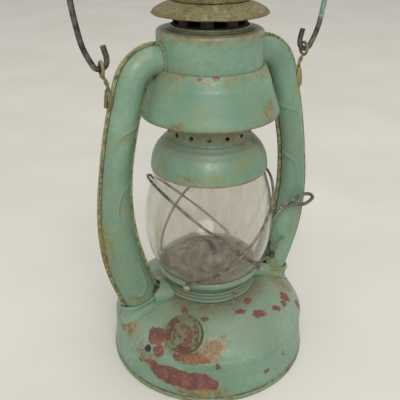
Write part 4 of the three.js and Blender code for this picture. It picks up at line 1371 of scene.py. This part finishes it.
ENAMEL_FOUNT = enamel("enamel_fount", 0.4, 0.3, (dirty_dome,), (dirty_deck,), (worn_patches,))
ENAMEL_TUBES = enamel("enamel_tubes", 0.8, 0.2, (chips, 0.12), (seam_line,), (stains, TUBE_STAINS))
ENAMEL_DUCTS = enamel("enamel_ducts", 0.7, 0.5, (chips, 0.3))
# The drum, its collar, the skirt and the bell get painted shade on their inner sides, with soot in the bell.
ENAMEL_DRUM = enamel(
    "enamel_drum", 0.3, 1.0, (chips, 0.1), (painted_shade_and_soot_inside,), (olive_rim, 264), (rusty_rim, 232)
)
ENAMEL_SKIRT = enamel(
    "enamel_skirt", 0.6, 0.3, (chips, 0.2), (painted_shade_and_soot_inside,), (olive_rim, 240),
    (stains, SKIRT_STAINS), (flakes, SKIRT_FLAKES), (rusty_rim, 206),
)
ENAMEL_BELL = enamel(
    "enamel_bell", 0.8, 0.4, (chips, 0.15), (painted_shade_and_soot_inside,), (olive_rim, 194),
    (stains, BELL_STAINS), (rusty_rim, 164),
)
ENAMEL_RINGS = enamel("enamel_rings", 1.0, 0.5, (chips, 0.8))
ENAMEL_FEET = enamel(
    "enamel_feet", 1.0, 0.3, (chips, 0.7), (stains, FOOT_STAINS), (flakes, FOOT_FLAKES)
)
PLATE_PAINT = enamel("plate_paint", 1.0, 0.3, (chips, 0.5), (olive_rim, 84), (bare_middle, 39))
STAINED = stained_rim("stained_rim")
CAP_PAINT = cap_paint("filler_cap_paint")
WEATHERED = weathered("weathered_cap")
SOOT = soot("soot")
STEEL = bare_steel("bare_steel", "8a857b", "57524a", rust=0.5)
BAIL_STEEL = bare_steel("bail_steel", "6d6863", "343230", green_above=(0, 266))
LEVER_STEEL = bare_steel("lever_steel", "7d8877", "4a4d43", rust=0.5)
SOLDER = dull_metal("solder", "a8a59d", "7f7b72", metallic=0.6, grime="6d675d", share=0.35)
BRASS = dull_metal("aged_brass", "8f8658", "6f6a48", metallic=0.4, grime="4d4632")
BURNER_METAL = dull_metal("burner_metal", "8b8374", "524a40", metallic=0.3, grime="2b2726", share=0.9)
COTTON = cotton("wick_cotton")
RUBBER = rubber("gasket_rubber")
GLASS = glass("globe_glass")


# ---------------------------------------------------------------- assembly
def add_fount():
    piece("fount_skin", fount_shell(), "frame", "fount_shell", ENAMEL_FOUNT)
    piece("base_pan", base_pan(), "frame", "fount_bottom", STAINED)
    piece("neck_and_flange", filler_neck(), "frame", "filler_neck", ENAMEL_FOUNT)
    piece("screw_cap", filler_cap(), "filler_cap", "filler_cap", CAP_PAINT)


def add_burner():
    piece("collar_ring", burner_collar(), "frame", "burner_collar", ENAMEL_RINGS)
    piece("burner_cup", burner_body(), "frame", "burner_body", ENAMEL_RINGS)
    piece("flame_cone", burner_cone(), "frame", "burner_cone", BURNER_METAL)
    piece("woven_wick", wick(), "wick", "wick", COTTON)
    piece("milled_knob", wick_knob(), "knob", "wick_knob", BRASS)


def add_carriage():
    piece("plate_with_rim", globe_plate(), "carriage", "globe_plate", PLATE_PAINT)
    piece("glass_globe", globe(), "carriage", "globe", GLASS)
    for side in ("left", "right"):
        piece(f"hoop_{side}", guard_hoop(side), "carriage", f"guard_hoop_{side}", STEEL)
        for place, end in (("front", -1), ("back", 1)):
            node = f"guard_clip_{side}_{place}"
            piece(f"clip_{side}_{place}", guard_clip(side, end), "carriage", node, SOLDER)


def add_lift():
    piece("lever_wire", lift_lever(), "lever", "lift_lever", LEVER_STEEL)


def add_tubes():
    front, foot, duct, socket = tube_half(), tube_foot(), air_duct(), tube_socket()
    for side, x in (("right", 1), ("left", -1)):
        for name, y in (("front", 1), ("back", -1)):
            trough = mirrored(front, x, y)
            piece(f"trough_{side}_{name}", trough, "frame", f"tube_{side}_{name}", ENAMEL_TUBES)
        collar = mirrored(foot, x)
        piece(f"foot_collar_{side}", collar, "frame", f"tube_foot_{side}", ENAMEL_FEET)
        piece(f"duct_cover_{side}", mirrored(duct, x), "frame", f"air_duct_{side}", ENAMEL_DUCTS)
        piece(f"socket_ring_{side}", mirrored(socket, x), "frame", None, STAINED)


def add_canopy():
    piece("drum_shell", canopy_drum(), "frame", "canopy_drum", ENAMEL_DRUM)
    piece("skirt_cone", canopy_skirt(), "frame", "canopy_skirt", ENAMEL_SKIRT)
    piece("drum_collar", canopy_collar(), "frame", "canopy_collar", ENAMEL_DRUM)


def add_chimney():
    piece("globe_bell", bell(), "chimney", "bell", ENAMEL_BELL)
    piece("flue_pipe", flue(), "chimney", "flue", SOOT)
    piece("brim", cap_brim(), "chimney", "cap_brim", WEATHERED)
    piece("crown", cap_crown(), "chimney", "cap_crown", WEATHERED)
    piece("lifting_loop", cap_loop(), "chimney", "cap_loop", STEEL)


def add_bail():
    shape = ear()
    for side, x in (("right", 1), ("left", -1)):
        piece(f"twisted_ear_{side}", mirrored(shape, x), "frame", f"ear_{side}", BRASS)
    piece("carrying_bail", bail(), "bail", "bail", BAIL_STEEL)


def finish_kept_nodes():
    """The small hidden pieces keep their CAD shape and take a procedural surface."""
    looks = {
        "wick_tube": BRASS,
        "wick_spindle": BRASS,
        "filler_gasket": RUBBER,
        "lift_strap": STAINED,
        "lift_pin": LEVER_STEEL,
    }
    for node, look in looks.items():
        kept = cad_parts[node]
        kept.data.materials.clear()
        kept.data.materials.append(look)
        if node.startswith("lift"):
            edge = kept.modifiers.new("edge", "BEVEL")
            edge.width = 0.15 * MM
            edge.segments = 2
            edge.limit_method = "ANGLE"


# ---------------------------------------------------------------- floor, light and camera
def add_floor():
    """A wide pale table top, faintly mottled."""
    reach = 6.0
    count = 24
    verts, faces = [], []
    for i in range(count + 1):
        for j in range(count + 1):
            verts.append((reach * (2 * i / count - 1), reach * (2 * j / count - 1), 0))
    for i in range(count):
        for j in range(count):
            a = i * (count + 1) + j
            faces.append((a, a + count + 1, a + count + 2, a + 1))
    mesh = bpy.data.meshes.new("table_top")
    mesh.from_pydata(verts, [], faces)
    floor = bpy.data.objects.new("table_top", mesh)
    bpy.context.scene.collection.objects.link(floor)
    p = Paint("table_top")
    colour = p.mix(p.ramp(p.noise(220, 3), 0.35, 0.65), "cccac2", "d2d0c9")
    mesh.materials.append(p.finish(colour, p.ramp(p.noise(40, 3), 0.3, 0.7, 0.55, 0.65), specular=0.2))


def add_light(name, place, aim, size, watts, colour):
    data = bpy.data.lights.new(name, "AREA")
    data.shape = "RECTANGLE"
    data.size, data.size_y = size
    data.energy = watts
    data.color = colour
    lamp = bpy.data.objects.new(name, data)
    lamp.location = place
    lamp.rotation_euler = (Vector(aim) - Vector(place)).to_track_quat("-Z", "Y").to_euler()
    bpy.context.scene.collection.objects.link(lamp)


def add_world():
    world = bpy.data.worlds.new("room")
    bpy.context.scene.world = world
    world.use_nodes = True
    sky = world.node_tree.nodes["Background"]
    sky.inputs["Color"].default_value = linear("eceae6")
    sky.inputs["Strength"].default_value = 0.74


def add_camera():
    data = bpy.data.cameras.new("camera")
    data.lens = 50.4
    data.sensor_width = 36
    camera = bpy.data.objects.new("camera", data)
    camera.location = (-0.1676, -0.3545, 0.3313)
    camera.rotation_euler = (math.radians(63.12), 0, math.radians(-24.3))
    bpy.context.scene.collection.objects.link(camera)
    bpy.context.scene.camera = camera


add_fount()
add_burner()
add_carriage()
add_lift()
add_tubes()
add_canopy()
add_chimney()
add_bail()
finish_kept_nodes()
add_floor()
add_light("window", (-0.7, -1.95, 2.0), (0, 0, 0.14), (1.5, 1.5), 42, (1.0, 0.99, 0.97))
add_light("ceiling", (0.3, -0.2, 3.2), (0, 0, 0.1), (1.8, 1.8), 24, (1.0, 0.99, 0.97))
add_world()
add_camera()
bpy.context.scene.view_settings.view_transform = "Standard"
